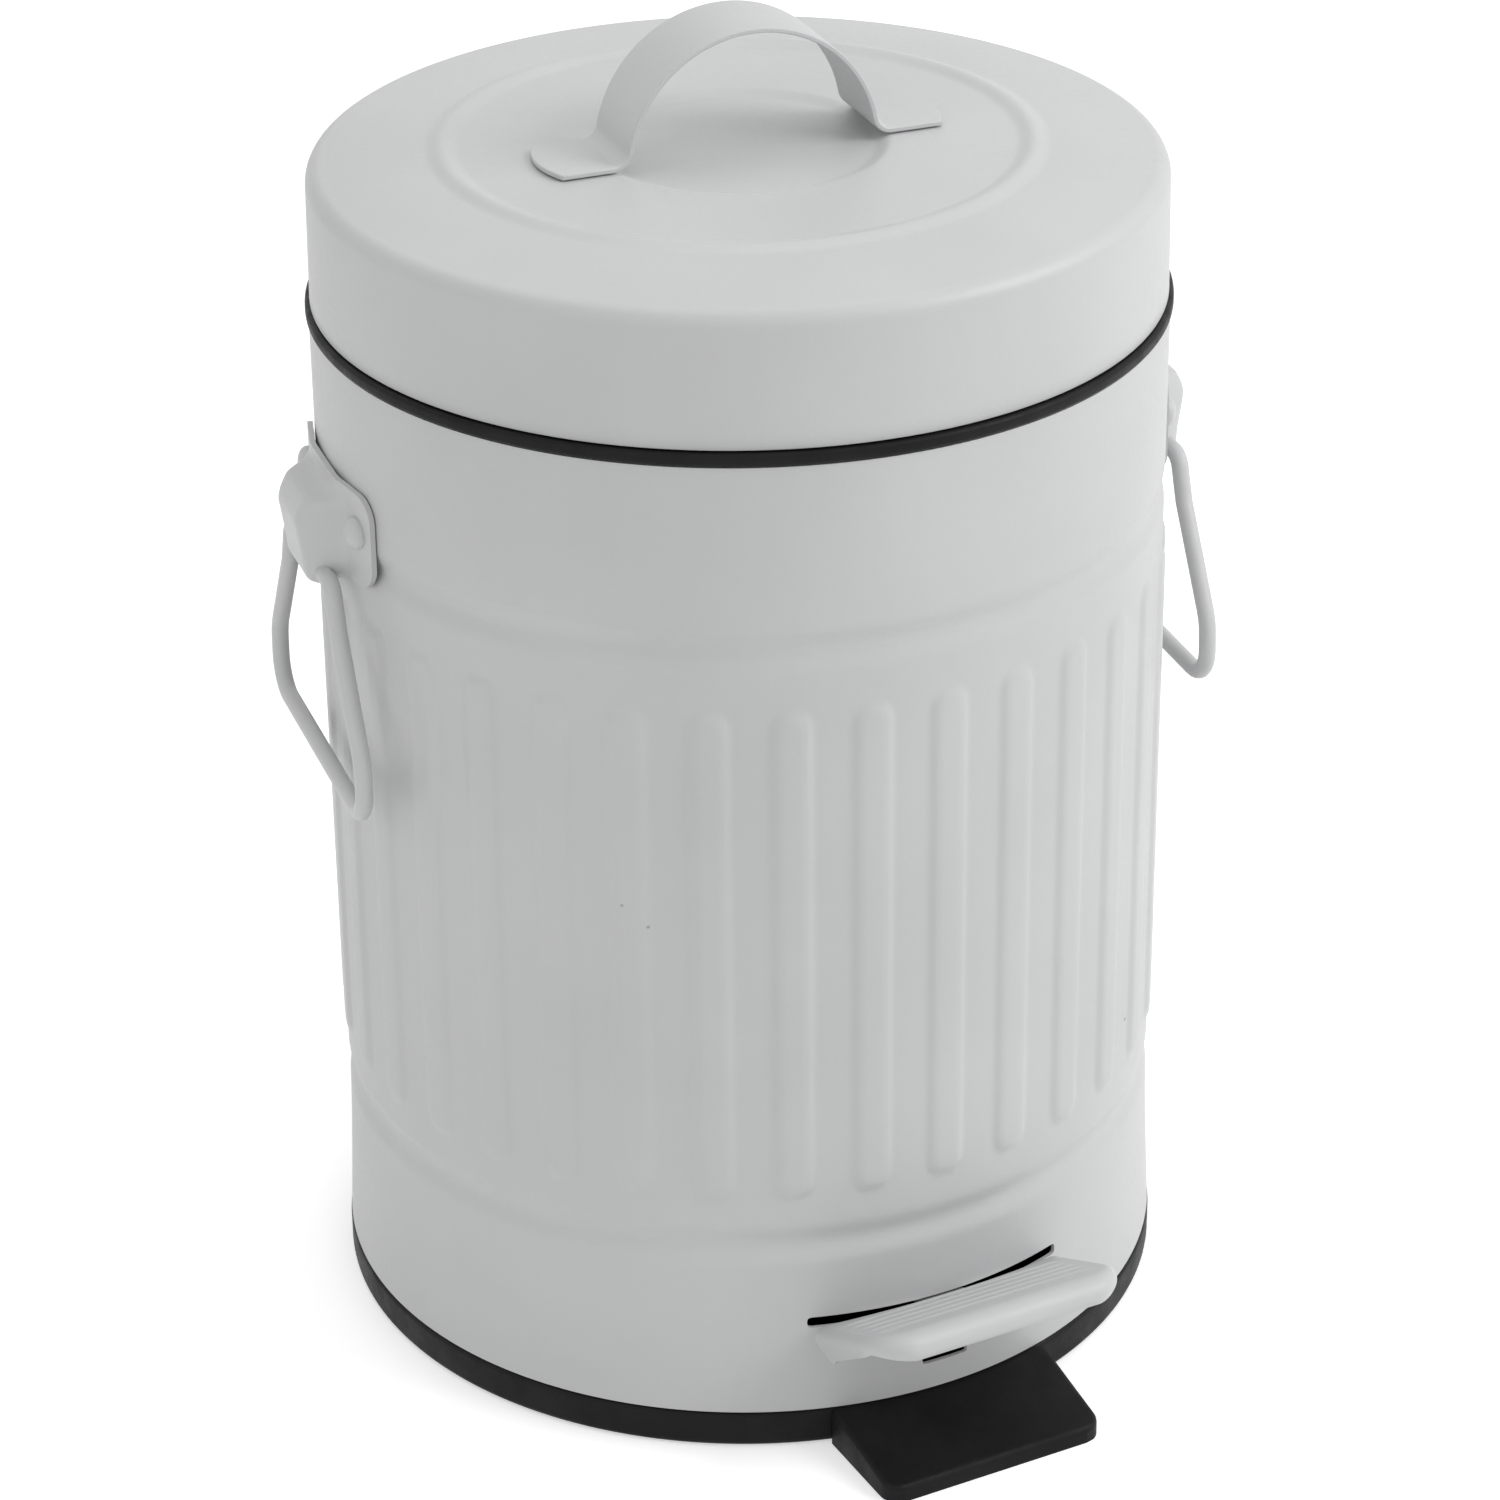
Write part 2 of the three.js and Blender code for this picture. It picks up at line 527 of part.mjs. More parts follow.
function base() {
  const bore = BODY_FOOT_R - BODY_SHEET - SEAT_GAP * 2;
  const top = BASE_HEIGHT + SPIGOT_HEIGHT;
  const dish = solid(turned([[0, 0], [BASE_R - BASE_EDGE, 0], [BASE_R, BASE_EDGE],
    [BASE_R, BASE_HEIGHT - BASE_EDGE / 2], [BASE_R - BASE_EDGE / 2, BASE_HEIGHT], [bore, BASE_HEIGHT],
    [bore, top], [bore - SPIGOT_WALL, top], [bore - SPIGOT_WALL, BASE_FLOOR], [0, BASE_FLOOR]]));
  const root = -(bore - SPIGOT_WALL / 2);
  const front = -TONGUE_REACH;
  const side = [[root, 0], [root, BASE_HEIGHT], [-BASE_R + BASE_EDGE, BASE_HEIGHT],
    [front + TONGUE_BEVEL, TONGUE_LIP], [front, TONGUE_LIP - TONGUE_BEVEL], [front, 0]];
  const wedge = sidePrism(side, -TONGUE_HALF, TONGUE_HALF);
  const plan = planPrism(roundedBox(-TONGUE_HALF, -TONGUE_REACH, TONGUE_HALF, 0, TONGUE_CORNER),
    -OVERRUN, top + OVERRUN);
  const lugInner = LEVER_HALF + SIDE_GAP;
  const lug = (low, high) => sidePrism([[PIVOT_Y - LUG_ROOT, BASE_FLOOR / 2],
    ...arc(PIVOT_Y, PIVOT_Z, PIVOT_R + LUG_WALL, Math.PI, 0, 8),
    [PIVOT_Y + LUG_ROOT, BASE_FLOOR / 2]], low, high);
  const lugOuter = lugInner + LUG_WALL;
  const hole = crossPin(PIVOT_Y, PIVOT_Z, PIVOT_R + RUN_GAP, -lugOuter - OVERRUN, lugOuter + OVERRUN);
  return cut(join(dish, wedge.intersect(plan), lug(-lugOuter, -lugInner), lug(lugInner, lugOuter)), hole);
}

// ---- Rim ring ----

function rimRing() {
  const outside = BODY_BORE_R - SEAT_GAP;
  const profile = [[RING_BORE_R, RING_LOW_Z], [outside - RING_SKIRT_WALL, RING_LOW_Z],
    [outside - RING_SKIRT_WALL, RING_LOW_Z - RING_SKIRT_DEPTH], [outside, RING_LOW_Z - RING_SKIRT_DEPTH],
    [outside, RING_LOW_Z], [RING_R, RING_LOW_Z], [RING_R, RING_HIGH_Z], [RING_BORE_R, RING_HIGH_Z],
    [RING_BORE_R, RING_LOW_Z]];
  const gap = box([-RING_GAP_HALF, RING_BORE_R / 2, RING_LOW_Z - RING_SKIRT_DEPTH - OVERRUN],
    [RING_GAP_HALF, RING_R + OVERRUN, RING_HIGH_Z + OVERRUN]);
  return cut(solid(turned(profile)), gap);
}

// ---- Lid ----

// Height of the lid's top at a radius inside its edge fillet.
function lidTop(r) {
  const fillet = LID_TOP_R - LID_FILLET;
  const crown = LID_PLATEAU_Z - LID_EDGE_Z;
  const share = Math.max(0, (r - LID_BEAD_R) / (fillet - LID_BEAD_R));
  const bead = Math.max(0, 1 - Math.abs(r - LID_BEAD_R) / LID_BEAD_HALF);
  const dish = THREE.MathUtils.clamp((LID_DISH_R - r) / LID_DISH_SLOPE + 0.5, 0, 1);
  return LID_PLATEAU_Z - crown * share * share + LID_BEAD_HEIGHT * bead - LID_DISH_DEPTH * dish;
}

function lidShell(cutters) {
  const fillet = LID_TOP_R - LID_FILLET;
  const bead = [LID_BEAD_R - LID_BEAD_HALF, LID_BEAD_R, LID_BEAD_R + LID_BEAD_HALF];
  const radii = [LID_DISH_R - LID_DISH_SLOPE / 2, LID_DISH_R + LID_DISH_SLOPE / 2, ...bead,
    (bead[2] + fillet) / 2];
  const top = radii.map((r) => [r, lidTop(r)]);
  const bend = (inset) => arc(fillet, LID_EDGE_Z - LID_FILLET, LID_FILLET - inset, Math.PI / 2, 0, 4);
  const outside = [[0, lidTop(0)], ...top, ...bend(0), [LID_R, LID_LOW_Z]];
  const under = top.map(([r, z]) => [r, z - LID_SHEET]);
  const inside = [[0, lidTop(0) - LID_SHEET], ...under, ...bend(LID_SHEET), [LID_R - LID_SHEET, LID_LOW_Z]];
  return cut(solid(turned([...outside, ...inside.reverse()])), ...cutters);
}

// The strap runs along X in its own frame: two flat feet, two bends and a round arch.
function strapHandle() {
  const foot = LID_PLATEAU_Z + SEAT_GAP + STRAP_THICK / 2;
  const radius = STRAP_ARCH_R + STRAP_THICK / 2;
  const bend = STRAP_BEND_R + STRAP_THICK / 2;
  const centre = LID_PLATEAU_Z - STRAP_THICK;
  const lift = foot + bend - centre;
  const reach = Math.sqrt((radius + bend) ** 2 - lift ** 2);
  const lean = Math.atan2(lift, reach);
  const side = [[STRAP_FOOT_END + OVERRUN, foot],
    ...arc(reach, foot + bend, bend, -Math.PI / 2, -Math.PI + lean, 4),
    ...arc(0, centre, radius, lean, Math.PI / 2, 9)];
  const path = [...side, ...side.slice(0, -1).reverse().map(([x, z]) => [-x, z])];
  const halfWidth = STRAP_WIDTH / 2;
  const bow = (halfWidth ** 2 + STRAP_END_BULGE ** 2) / (2 * STRAP_END_BULGE);
  const spread = Math.asin(halfWidth / bow);
  const end = arc(STRAP_FOOT_END - bow, 0, bow, -spread, spread, 6);
  const plan = [...end, ...end.map(([x, y]) => [-x, -y])];
  const height = foot + radius * 2;
  return frontPrism(bentSheet(path, STRAP_THICK), -halfWidth, halfWidth)
    .intersect(planPrism(plan, LID_PLATEAU_Z - OVERRUN, height));
}

// ---- Hinge ----

// The arm's slot is wide enough for the wire and for the arc that its end rides through.
function armSlotHalf() {
  return ROD_R + ARM_SLOT_EASE * HINGE_ARM + SEAT_GAP;
}

function armHalfHeight() {
  return armSlotHalf() + ARM_WALL;
}

// A rounded bar from near to far along the arm's line, which points in and down from the pin.
function armBar(near, far, half, low, high) {
  const lean = Math.PI + LID_OPEN / 2;
  const at = (distance) => [HINGE_Y + distance * Math.cos(lean), HINGE_Z + distance * Math.sin(lean)];
  const [nearY, nearZ] = at(near);
  const [farY, farZ] = at(far);
  const quarter = Math.PI / 2;
  return sidePrism([...arc(farY, farZ, half, lean - quarter, lean + quarter, 8),
    ...arc(nearY, nearZ, half, lean + quarter, lean + 3 * quarter, 8)], low, high);
}

function leafPlate(inner, low, high) {
  return curvedPlate(inner, LEAF_THICK, -LEAF_HALF_ANGLE, LEAF_HALF_ANGLE, low, high);
}

function lidLeaf(holes) {
  const inner = LID_R + SEAT_GAP;
  const plate = leafPlate(inner, LID_LEAF_LOW_Z, LID_LEAF_HIGH_Z);
  const webTop = (LID_LEAF_LOW_Z + LID_LEAF_HIGH_Z) / 2;
  const web = sidePrism([[inner + LEAF_THICK / 2, webTop], [inner + LEAF_THICK / 2, LID_LEAF_LOW_Z],
    ...arc(HINGE_Y, HINGE_Z, KNUCKLE_R, Math.PI, 2 * Math.PI + KNUCKLE_LEAN * 2, 12)], -WEB_HALF, WEB_HALF);
  const far = HINGE_ARM / Math.cos(LID_OPEN / 2);
  const arm = armBar(0, far, armHalfHeight(), -WEB_HALF, WEB_HALF);
  const slot = armBar(HINGE_ARM, far, armSlotHalf(), -WEB_HALF - OVERRUN, WEB_HALF + OVERRUN);
  const bore = crossPin(HINGE_Y, HINGE_Z, HINGE_PIN_R + RUN_GAP, -WEB_HALF - OVERRUN, WEB_HALF + OVERRUN);
  return cut(join(plate, web, arm), slot, bore, ...holes);
}

function bodyLeaf(holes) {
  const inner = BODY_R + SEAT_GAP;
  const plate = leafPlate(inner, BODY_LEAF_LOW_Z, BODY_LEAF_HIGH_Z);
  const near = WEB_HALF + SIDE_GAP;
  const cheekLow = (BODY_LEAF_LOW_Z + BODY_LEAF_HIGH_Z) / 2;
  const cheek = (low, high) => sidePrism([[inner + LEAF_THICK / 2, BODY_LEAF_HIGH_Z],
    ...arc(HINGE_Y, HINGE_Z, KNUCKLE_R, Math.PI - KNUCKLE_LEAN, -KNUCKLE_LEAN, 12),
    [inner + LEAF_THICK / 2, cheekLow]], low, high);
  const far = near + CHEEK_THICK;
  const bore = crossPin(HINGE_Y, HINGE_Z, HINGE_PIN_R + RUN_GAP, -far - OVERRUN, far + OVERRUN);
  return cut(join(plate, cheek(-far, -near), cheek(near, far)), bore, ...holes);
}

function hingePin() {
  const grip = WEB_HALF + SIDE_GAP + CHEEK_THICK + SEAT_GAP;
  const end = grip + HINGE_HEAD;
  const profile = [[0, -end], [HINGE_HEAD_R, -end], [HINGE_HEAD_R, -grip], [HINGE_PIN_R, -grip],
    [HINGE_PIN_R, grip], [HINGE_HEAD_R, grip], [HINGE_HEAD_R, end], [0, end]];
  return solid(turned(profile, 16).rotateY(Math.PI / 2).translate(0, HINGE_Y, HINGE_Z));
}

// ---- Push rod ----

function pushRod() {
  const hook = (z) => [ROD_HOOK_X, z];
  const corner = (z) => [ROD_X, z];
  const corners = [hook(ROD_LOW_Z), corner(ROD_LOW_Z), corner(ROD_TOP_Z), hook(ROD_TOP_Z)];
  const path = roundedPath(corners, [ROD_BEND_R, ROD_BEND_R]);
  return wire(path.map(([x, z]) => [x, ROD_Y, z]), ROD_R);
}

function rodGuide() {
  const outer = BODY_BORE_R - SEAT_GAP;
  const side = (ROD_X - GUIDE_WIDTH / 2) / BODY_R;
  const inner = outer - GUIDE_THICK;
  const span = GUIDE_WIDTH / BODY_R;
  const flange = curvedPlate(inner, GUIDE_THICK, side, side + span, GUIDE_Z, GUIDE_Z + GUIDE_HEIGHT);
  const shelfEnd = [ROD_X + GUIDE_WIDTH / 2, inner - GUIDE_THICK / 2, GUIDE_Z + GUIDE_THICK];
  const shelf = box([ROD_X - GUIDE_WIDTH / 2, outer - GUIDE_REACH, GUIDE_Z], shelfEnd);
  const [below, above, bore] = [GUIDE_Z - OVERRUN, GUIDE_Z + OVERRUN * 2, ROD_R + RUN_GAP];
  const hole = turned([[0, below], [bore, below], [bore, above], [0, above]], 16);
  return cut(join(flange, shelf), solid(hole.translate(ROD_X, ROD_Y, 0)));
}

// ---- Pedal ----

// Height of the tread's top at y.
function treadTop(y) {
  const sideY = -Math.sqrt(BODY_R ** 2 - SLOT_HALF ** 2);
  return TREAD_SLOT_Z + (sideY - y) * Math.tan(TREAD_SLOPE);
}

// A point in the middle of the tread's sheet.
function treadMiddle(y) {
  return [y, treadTop(y) - TREAD_SHEET / 2 / Math.cos(TREAD_SLOPE)];
}

// The middle line of the tread's sheet, from y up the slope and over the nose.
function treadPath(y) {
  const radius = TREAD_NOSE_R - TREAD_SHEET / 2;
  const centreZ = treadTop(TREAD_NOSE_Y) - TREAD_NOSE_R / Math.cos(TREAD_SLOPE);
  const from = Math.PI / 2 + TREAD_SLOPE;
  return [treadMiddle(y),
    ...arc(TREAD_NOSE_Y, centreZ, radius, from, from + TREAD_NOSE_TURN, 7)];
}

function pedalTread(holes) {
  const wide = sidePrism(bentSheet(treadPath(TREAD_WING_Y), TREAD_SHEET), -TREAD_HALF, TREAD_HALF);
  const shankPath = [treadMiddle(SHANK_END_Y), treadMiddle(TREAD_WING_Y - OVERRUN)];
  const shank = sidePrism(bentSheet(shankPath, TREAD_SHEET), -SHANK_HALF, SHANK_HALF);
  const path = treadPath(TREAD_WING_Y);
  const rearY = -BODY_FOOT_R - SEAT_GAP * 2;
  const skirtLine = [[rearY, treadTop(rearY) - TREAD_SHEET], [rearY, SKIRT_LOW_Z],
    [SKIRT_FRONT_Y, SKIRT_LOW_Z], path.at(-1), ...path.slice(1, -1).reverse()];
  const skirt = (low, high) => sidePrism(skirtLine, low, high);
  const inner = TREAD_HALF - TREAD_SHEET;
  return cut(join(wide, shank, skirt(-TREAD_HALF, -inner), skirt(inner, TREAD_HALF)), ...holes);
}

function pedalLever(holes) {
  const lift = (SEAT_GAP + LEVER_THICK / 2) / Math.cos(TREAD_SLOPE);
  const front = [LEVER_FRONT_Y, treadTop(LEVER_FRONT_Y) + lift];
  const knee = [LEVER_KNEE_Y, treadTop(LEVER_KNEE_Y) + lift];
  const strip = (path, half) => sidePrism(bentSheet(path, LEVER_THICK), -half, half);
  const share = (LEVER_NECK_Y - PIVOT_Y) / LEVER_REACH;
  const neck = [LEVER_NECK_Y, PIVOT_Z + (ROD_LOW_Z - PIVOT_Z) * share];
  const wide = strip([front, knee, [PIVOT_Y, PIVOT_Z], neck], LEVER_HALF);
  const narrow = strip([[PIVOT_Y, PIVOT_Z], [ROD_Y, ROD_LOW_Z]], WEB_HALF);
  const hub = crossPin(PIVOT_Y, PIVOT_Z, LEVER_HUB_R, -LEVER_HALF, LEVER_HALF);
  const lug = crossPin(ROD_Y, ROD_LOW_Z, LEVER_LUG_R, -WEB_HALF, WEB_HALF);
  const bore = crossPin(PIVOT_Y, PIVOT_Z, PIVOT_R + RUN_GAP, -LEVER_HALF - OVERRUN, LEVER_HALF + OVERRUN);
  const swing = Math.asin(ROD_TRAVEL / 2 / LEVER_REACH);
  const half = ROD_R + RUN_GAP;
  const long = half + LEVER_REACH * (1 / Math.cos(swing) - 1);
  const [eyeLow, eyeHigh] = [ROD_LOW_Z - half, ROD_LOW_Z + half];
  const eyeOutline = roundedBox(ROD_Y - long, eyeLow, ROD_Y + long, eyeHigh, half * EYE_ROUND);
  const eye = sidePrism(eyeOutline, -WEB_HALF - OVERRUN, WEB_HALF + OVERRUN);
  return cut(join(wide, narrow, hub, lug), bore, eye, ...holes);
}

// A geometry made along +X stands square on the tread's slope, from the shank's underside.
function onShank(geometry, x) {
  const under = treadTop(PEDAL_RIVET_Y) - TREAD_SHEET / Math.cos(TREAD_SLOPE);
  return geometry.clone().rotateY(-Math.PI / 2).rotateX(-TREAD_SLOPE).translate(x, PEDAL_RIVET_Y, under);
}

function pedalPin() {
  const reach = LEVER_HALF + SIDE_GAP + LUG_WALL;
  return crossPin(PIVOT_Y, PIVOT_Z, PIVOT_R, -reach, reach, 16);
}

// ---- Side handle: an ear plate pressed up into a hood over the bail's straight top ----
// Its own frame has +X pointing out from the body and +Y along its surface.

// The hood's middle section as [distance from the bin's axis, z], top edge first.
function hoodSection() {
  const skin = BAIL_R + RUN_GAP + EAR_SHEET;
  const flange = BODY_R + SEAT_GAP + EAR_SHEET;
  const bulge = BAIL_AXIS_RHO + skin;
  const crown = EAR_HIGH_Z - BAIL_AXIS_Z;
  const under = arc(BAIL_AXIS_RHO, BAIL_AXIS_Z, skin, 0, -HOOD_TUCK, 4);
  const shoulder = HOOD_SHOULDER.map(([out, down]) => [
    flange + (bulge - flange) * out, EAR_HIGH_Z - crown * down]);
  return [[flange, EAR_HIGH_Z], ...shoulder, ...under];
}

function earPoint(u, s) {
  const section = new THREE.SplineCurve(hoodSection().map(([a, b]) => new THREE.Vector2(a, b)));
  const hood = section.getPointAt(s);
  const run = Math.max(0, Math.abs(u) - (EAR_HALF - EAR_CORNER));
  const trim = EAR_CORNER - Math.sqrt(Math.max(0, EAR_CORNER ** 2 - run ** 2));
  const flangeR = BODY_R + SEAT_GAP + EAR_SHEET;
  const z = THREE.MathUtils.lerp(EAR_HIGH_Z - trim, EAR_LOW_Z + trim, s);
  const angle = u / BODY_R;
  const flat = new THREE.Vector3(flangeR * Math.cos(angle), flangeR * Math.sin(angle), z);
  const rise = 1 - THREE.MathUtils.smoothstep(Math.abs(u), HOOD_FLAT, HOOD_FOOT);
  return flat.lerp(new THREE.Vector3(hood.x, u, hood.y), rise);
}

function earPlate() {
  const across = [...EAR_STEPS.map((share) => EAR_CORNER * share - EAR_HALF),
    ...HOOD_STEPS.map((share) => (HOOD_FOOT - HOOD_FLAT) * share - HOOD_FOOT), 0];
  const places = [...across, ...across.slice(0, -1).reverse().map((u) => -u)];
  const down = Array.from({ length: EAR_ROWS + 1 }, (_, i) => i / EAR_ROWS);
  const step = 1e-3;
  const outer = places.map((u) => down.map((s) => earPoint(u, s)));
  const inner = places.map((u) => down.map((s) => {
    const [uLow, uHigh] = [Math.max(u - step, -EAR_HALF), Math.min(u + step, EAR_HALF)];
    const [sLow, sHigh] = [Math.max(s - step, 0), Math.min(s + step, 1)];
    const along = earPoint(uHigh, s).sub(earPoint(uLow, s));
    const fall = earPoint(u, sHigh).sub(earPoint(u, sLow));
    return earPoint(u, s).addScaledVector(along.cross(fall).normalize(), EAR_SHEET);
  }));
  return sheetSolid(outer, inner);
}

// A closed solid between two grids of points with the same rows and columns.
function sheetSolid(outer, inner) {
  const [rows, columns] = [outer.length, outer[0].length];
  const points = [...outer.flat(), ...inner.flat()];
  const at = (layer, r, c) => (layer * rows + r) * columns + c;
  const index = [];
  const quad = (a, b, c, d) => index.push(a, b, c, a, c, d);
  for (let r = 0; r < rows - 1; r += 1) {
    for (let c = 0; c < columns - 1; c += 1) {
      quad(at(0, r, c), at(0, r, c + 1), at(0, r + 1, c + 1), at(0, r + 1, c));
      quad(at(1, r, c), at(1, r + 1, c), at(1, r + 1, c + 1), at(1, r, c + 1));
    }
  }
  for (let r = 0; r < rows - 1; r += 1) {
    const last = columns - 1;
    quad(at(0, r, 0), at(0, r + 1, 0), at(1, r + 1, 0), at(1, r, 0));
    quad(at(0, r + 1, last), at(0, r, last), at(1, r, last), at(1, r + 1, last));
  }
  for (let c = 0; c < columns - 1; c += 1) {
    const last = rows - 1;
    quad(at(0, 0, c + 1), at(0, 0, c), at(1, 0, c), at(1, 0, c + 1));
    quad(at(0, last, c), at(0, last, c + 1), at(1, last, c + 1), at(1, last, c));
  }
  const geometry = new THREE.BufferGeometry();
  const positions = points.flatMap((p) => p.toArray());
  geometry.setAttribute('position', new THREE.Float32BufferAttribute(positions, 3));
  geometry.setIndex(index);
  return solid(geometry);
}

function earBracket() {
  const clear = BAIL_R + RUN_GAP;
  const flare = clear + HOOD_FLARE;
  const end = HOOD_FOOT + OVERRUN;
  const profile = [[0, -end], [flare, -end], [flare, -HOOD_FOOT], [clear, -HOOD_FLAT],
    [clear, HOOD_FLAT], [flare, HOOD_FOOT], [flare, end], [0, end]];
  const passage = turned(profile, 20).rotateX(Math.PI / 2).translate(BAIL_AXIS_RHO, 0, BAIL_AXIS_Z);
  return cut(earPlate(), solid(passage), ...earRivetPlaces().map((angle) => solid(aroundAxis(
    rivetHole(earGrip()), BODY_BORE_R, EAR_RIVET_Z, angle))));
}

function earGrip() {
  return BODY_SHEET + SEAT_GAP + EAR_SHEET;
}

function earRivetPlaces() {
  return [-EAR_RIVET_U / BODY_R, EAR_RIVET_U / BODY_R];
}

// One wire: a straight top inside the hood, splayed legs and a straight grip.
function bail() {
  const half = [[BAIL_BUTT, 0], ...BAIL_CORNERS.map(([u, z]) => [u, z])];
  const radii = BAIL_CORNERS.map(([, , radius]) => radius);
  const mirrored = half.map(([u, z]) => [-u, z]).reverse();
  const path = roundedPath([...half, ...mirrored], [...radii, ...radii.toReversed()], 3);
  return wire(path.map(([u, z]) => [BAIL_AXIS_RHO, u, BAIL_AXIS_Z + z]), BAIL_R);
}

// ---- Inner bucket ----

function bucket() {
  const step = BUCKET_WALL;
  const profile = [[0, BUCKET_LOW_Z], [BUCKET_FLOOR_R - step * 2, BUCKET_LOW_Z],
    [BUCKET_FLOOR_R, BUCKET_LOW_Z + step * 2], [BUCKET_R, BUCKET_FLANGE_Z],
    [BUCKET_FLANGE_R, BUCKET_FLANGE_Z], [BUCKET_FLANGE_R, BUCKET_TOP_Z], [BUCKET_R - step, BUCKET_TOP_Z],
    [BUCKET_FLOOR_R - step, BUCKET_LOW_Z + step * 3], [BUCKET_FLOOR_R - step * 3, BUCKET_LOW_Z + step],
    [0, BUCKET_LOW_Z + step]];
  const flat = box([-BUCKET_FLANGE_R, BUCKET_R + BUCKET_FLAT_GAP, BUCKET_FLANGE_Z - OVERRUN],
    [BUCKET_FLANGE_R, BUCKET_FLANGE_R + OVERRUN, BUCKET_TOP_Z + OVERRUN]);
  const root = BUCKET_TOP_Z - BUCKET_WALL / 2;
  const ear = (low, high) => sidePrism([[-BUCKET_EAR_HALF, root],
    ...arc(0, BUCKET_BAIL_Z, BUCKET_EAR_HALF, Math.PI, 0, 8), [BUCKET_EAR_HALF, root]], low, high);
  const inner = BUCKET_R + BUCKET_EAR_MARGIN;
  const outer = inner + BUCKET_EAR_WALL;
  const hole = crossPin(0, BUCKET_BAIL_Z, BUCKET_BAIL_R + RUN_GAP, -outer - OVERRUN, outer + OVERRUN, 16);
  const pail = join(solid(turned(profile)), ear(inner, outer), ear(-outer, -inner));
  return cut(pail, flat, hole);
}

// A half hoop lying towards the pedal, with its ends turned out through the ears.
function bucketBail() {
  const bow = BUCKET_R + BUCKET_BAIL_MARGIN;
  const bend = BUCKET_BAIL_BEND;
  const start = Math.asin(bend / bow);
  const hoop = arc(0, 0, bow, -start * BUCKET_BAIL_TRIM, -Math.PI + start * BUCKET_BAIL_TRIM, 22);
  const ease = bend * BUCKET_BAIL_EASE;
  const tip = [[BUCKET_R + BUCKET_BAIL_TIP, 0], [bow + bend, 0], [bow + ease, -ease]];
  const path = [...tip, ...hoop, ...tip.map(([x, y]) => [-x, y]).reverse()];
  return wire(path.map(([x, y]) => [x, y, BUCKET_BAIL_Z]), BUCKET_BAIL_R);
}

// ---- Assembly ----

const bin = new THREE.Group();
const handleSides = [['right', HANDLE_TURN], ['left', HANDLE_TURN + Math.PI]];
const leafGrip = BODY_SHEET + SEAT_GAP + LEAF_THICK;
const pedalGrip = TREAD_SHEET + SEAT_GAP + LEVER_THICK;
const pedalHoles = [PEDAL_RIVET_X, -PEDAL_RIVET_X].map((x) => solid(onShank(rivetHole(pedalGrip), x)));
const bodyRivetZ = BODY_LEAF_LOW_Z + BODY_RIVET_RISE;
const lidRivetZ = LID_LEAF_HIGH_Z - LID_RIVET_DROP;
const lidBoreR = LID_TOP_R - LID_SHEET;
const lidGrip = LID_R + SEAT_GAP + LEAF_THICK - lidBoreR;
const leafTurns = [Math.PI / 2 - LEAF_RIVET_ANGLE, Math.PI / 2 + LEAF_RIVET_ANGLE];
const bodyLeafHoles = leafTurns.map((angle) => solid(
  aroundAxis(rivetHole(leafGrip), BODY_BORE_R, bodyRivetZ, angle)));
const lidLeafHoles = leafTurns.map((angle) => solid(
  aroundAxis(rivetHole(lidGrip), lidBoreR, lidRivetZ, angle)));
const earHoles = handleSides.flatMap(([, turn]) => earRivetPlaces().map((angle) => solid(aroundAxis(
  rivetHole(earGrip()), BODY_BORE_R, EAR_RIVET_Z, turn + angle))));

bin.add(mesh('body_shell', bodyShell([...bodyLeafHoles, ...earHoles]), paint()));
bin.add(mesh('base', base(), black()));
bin.add(mesh('rim_ring', rimRing(), black()));
bin.add(mesh('lid_shell', lidShell(lidLeafHoles), paint()));

const strap = mesh('lid_handle', strapHandle(), paint());
strap.rotation.z = STRAP_TURN;
bin.add(strap);

bin.add(mesh('body_hinge_leaf', bodyLeaf(bodyLeafHoles), paint()));
bin.add(mesh('lid_hinge_leaf', lidLeaf(lidLeafHoles), paint()));
bin.add(mesh('hinge_pin', hingePin(), zinc()));
leafTurns.forEach((angle, i) => {
  const side = ['right', 'left'][i];
  const low = mesh(`body_hinge_rivet_${side}`, solid(rivet(leafGrip, SMALL_HEAD_R, SMALL_DOME)), paint());
  low.position.set(BODY_BORE_R * Math.cos(angle), BODY_BORE_R * Math.sin(angle), bodyRivetZ);
  low.rotation.z = angle;
  const high = mesh(`lid_hinge_rivet_${side}`, solid(rivet(lidGrip, SMALL_HEAD_R, SMALL_DOME)), paint());
  high.position.set(lidBoreR * Math.cos(angle), lidBoreR * Math.sin(angle), lidRivetZ);
  high.rotation.z = angle;
  bin.add(low, high);
});

bin.add(mesh('push_rod', pushRod(), zinc()));
bin.add(mesh('rod_guide', rodGuide(), zinc()));
bin.add(mesh('pedal_tread', pedalTread(pedalHoles), paint()));
bin.add(mesh('pedal_lever', pedalLever(pedalHoles), zinc()));
bin.add(mesh('pedal_pin', pedalPin(), zinc()));
[PEDAL_RIVET_X, -PEDAL_RIVET_X].forEach((x, i) => {
  const side = ['right', 'left'][i];
  const fixing = mesh(`pedal_rivet_${side}`, solid(rivet(pedalGrip, SMALL_HEAD_R, SMALL_DOME)), zinc());
  fixing.position.set(x, PEDAL_RIVET_Y, treadTop(PEDAL_RIVET_Y) - TREAD_SHEET / Math.cos(TREAD_SLOPE));
  fixing.rotation.set(-TREAD_SLOPE, -Math.PI / 2, 0);
  bin.add(fixing);
});

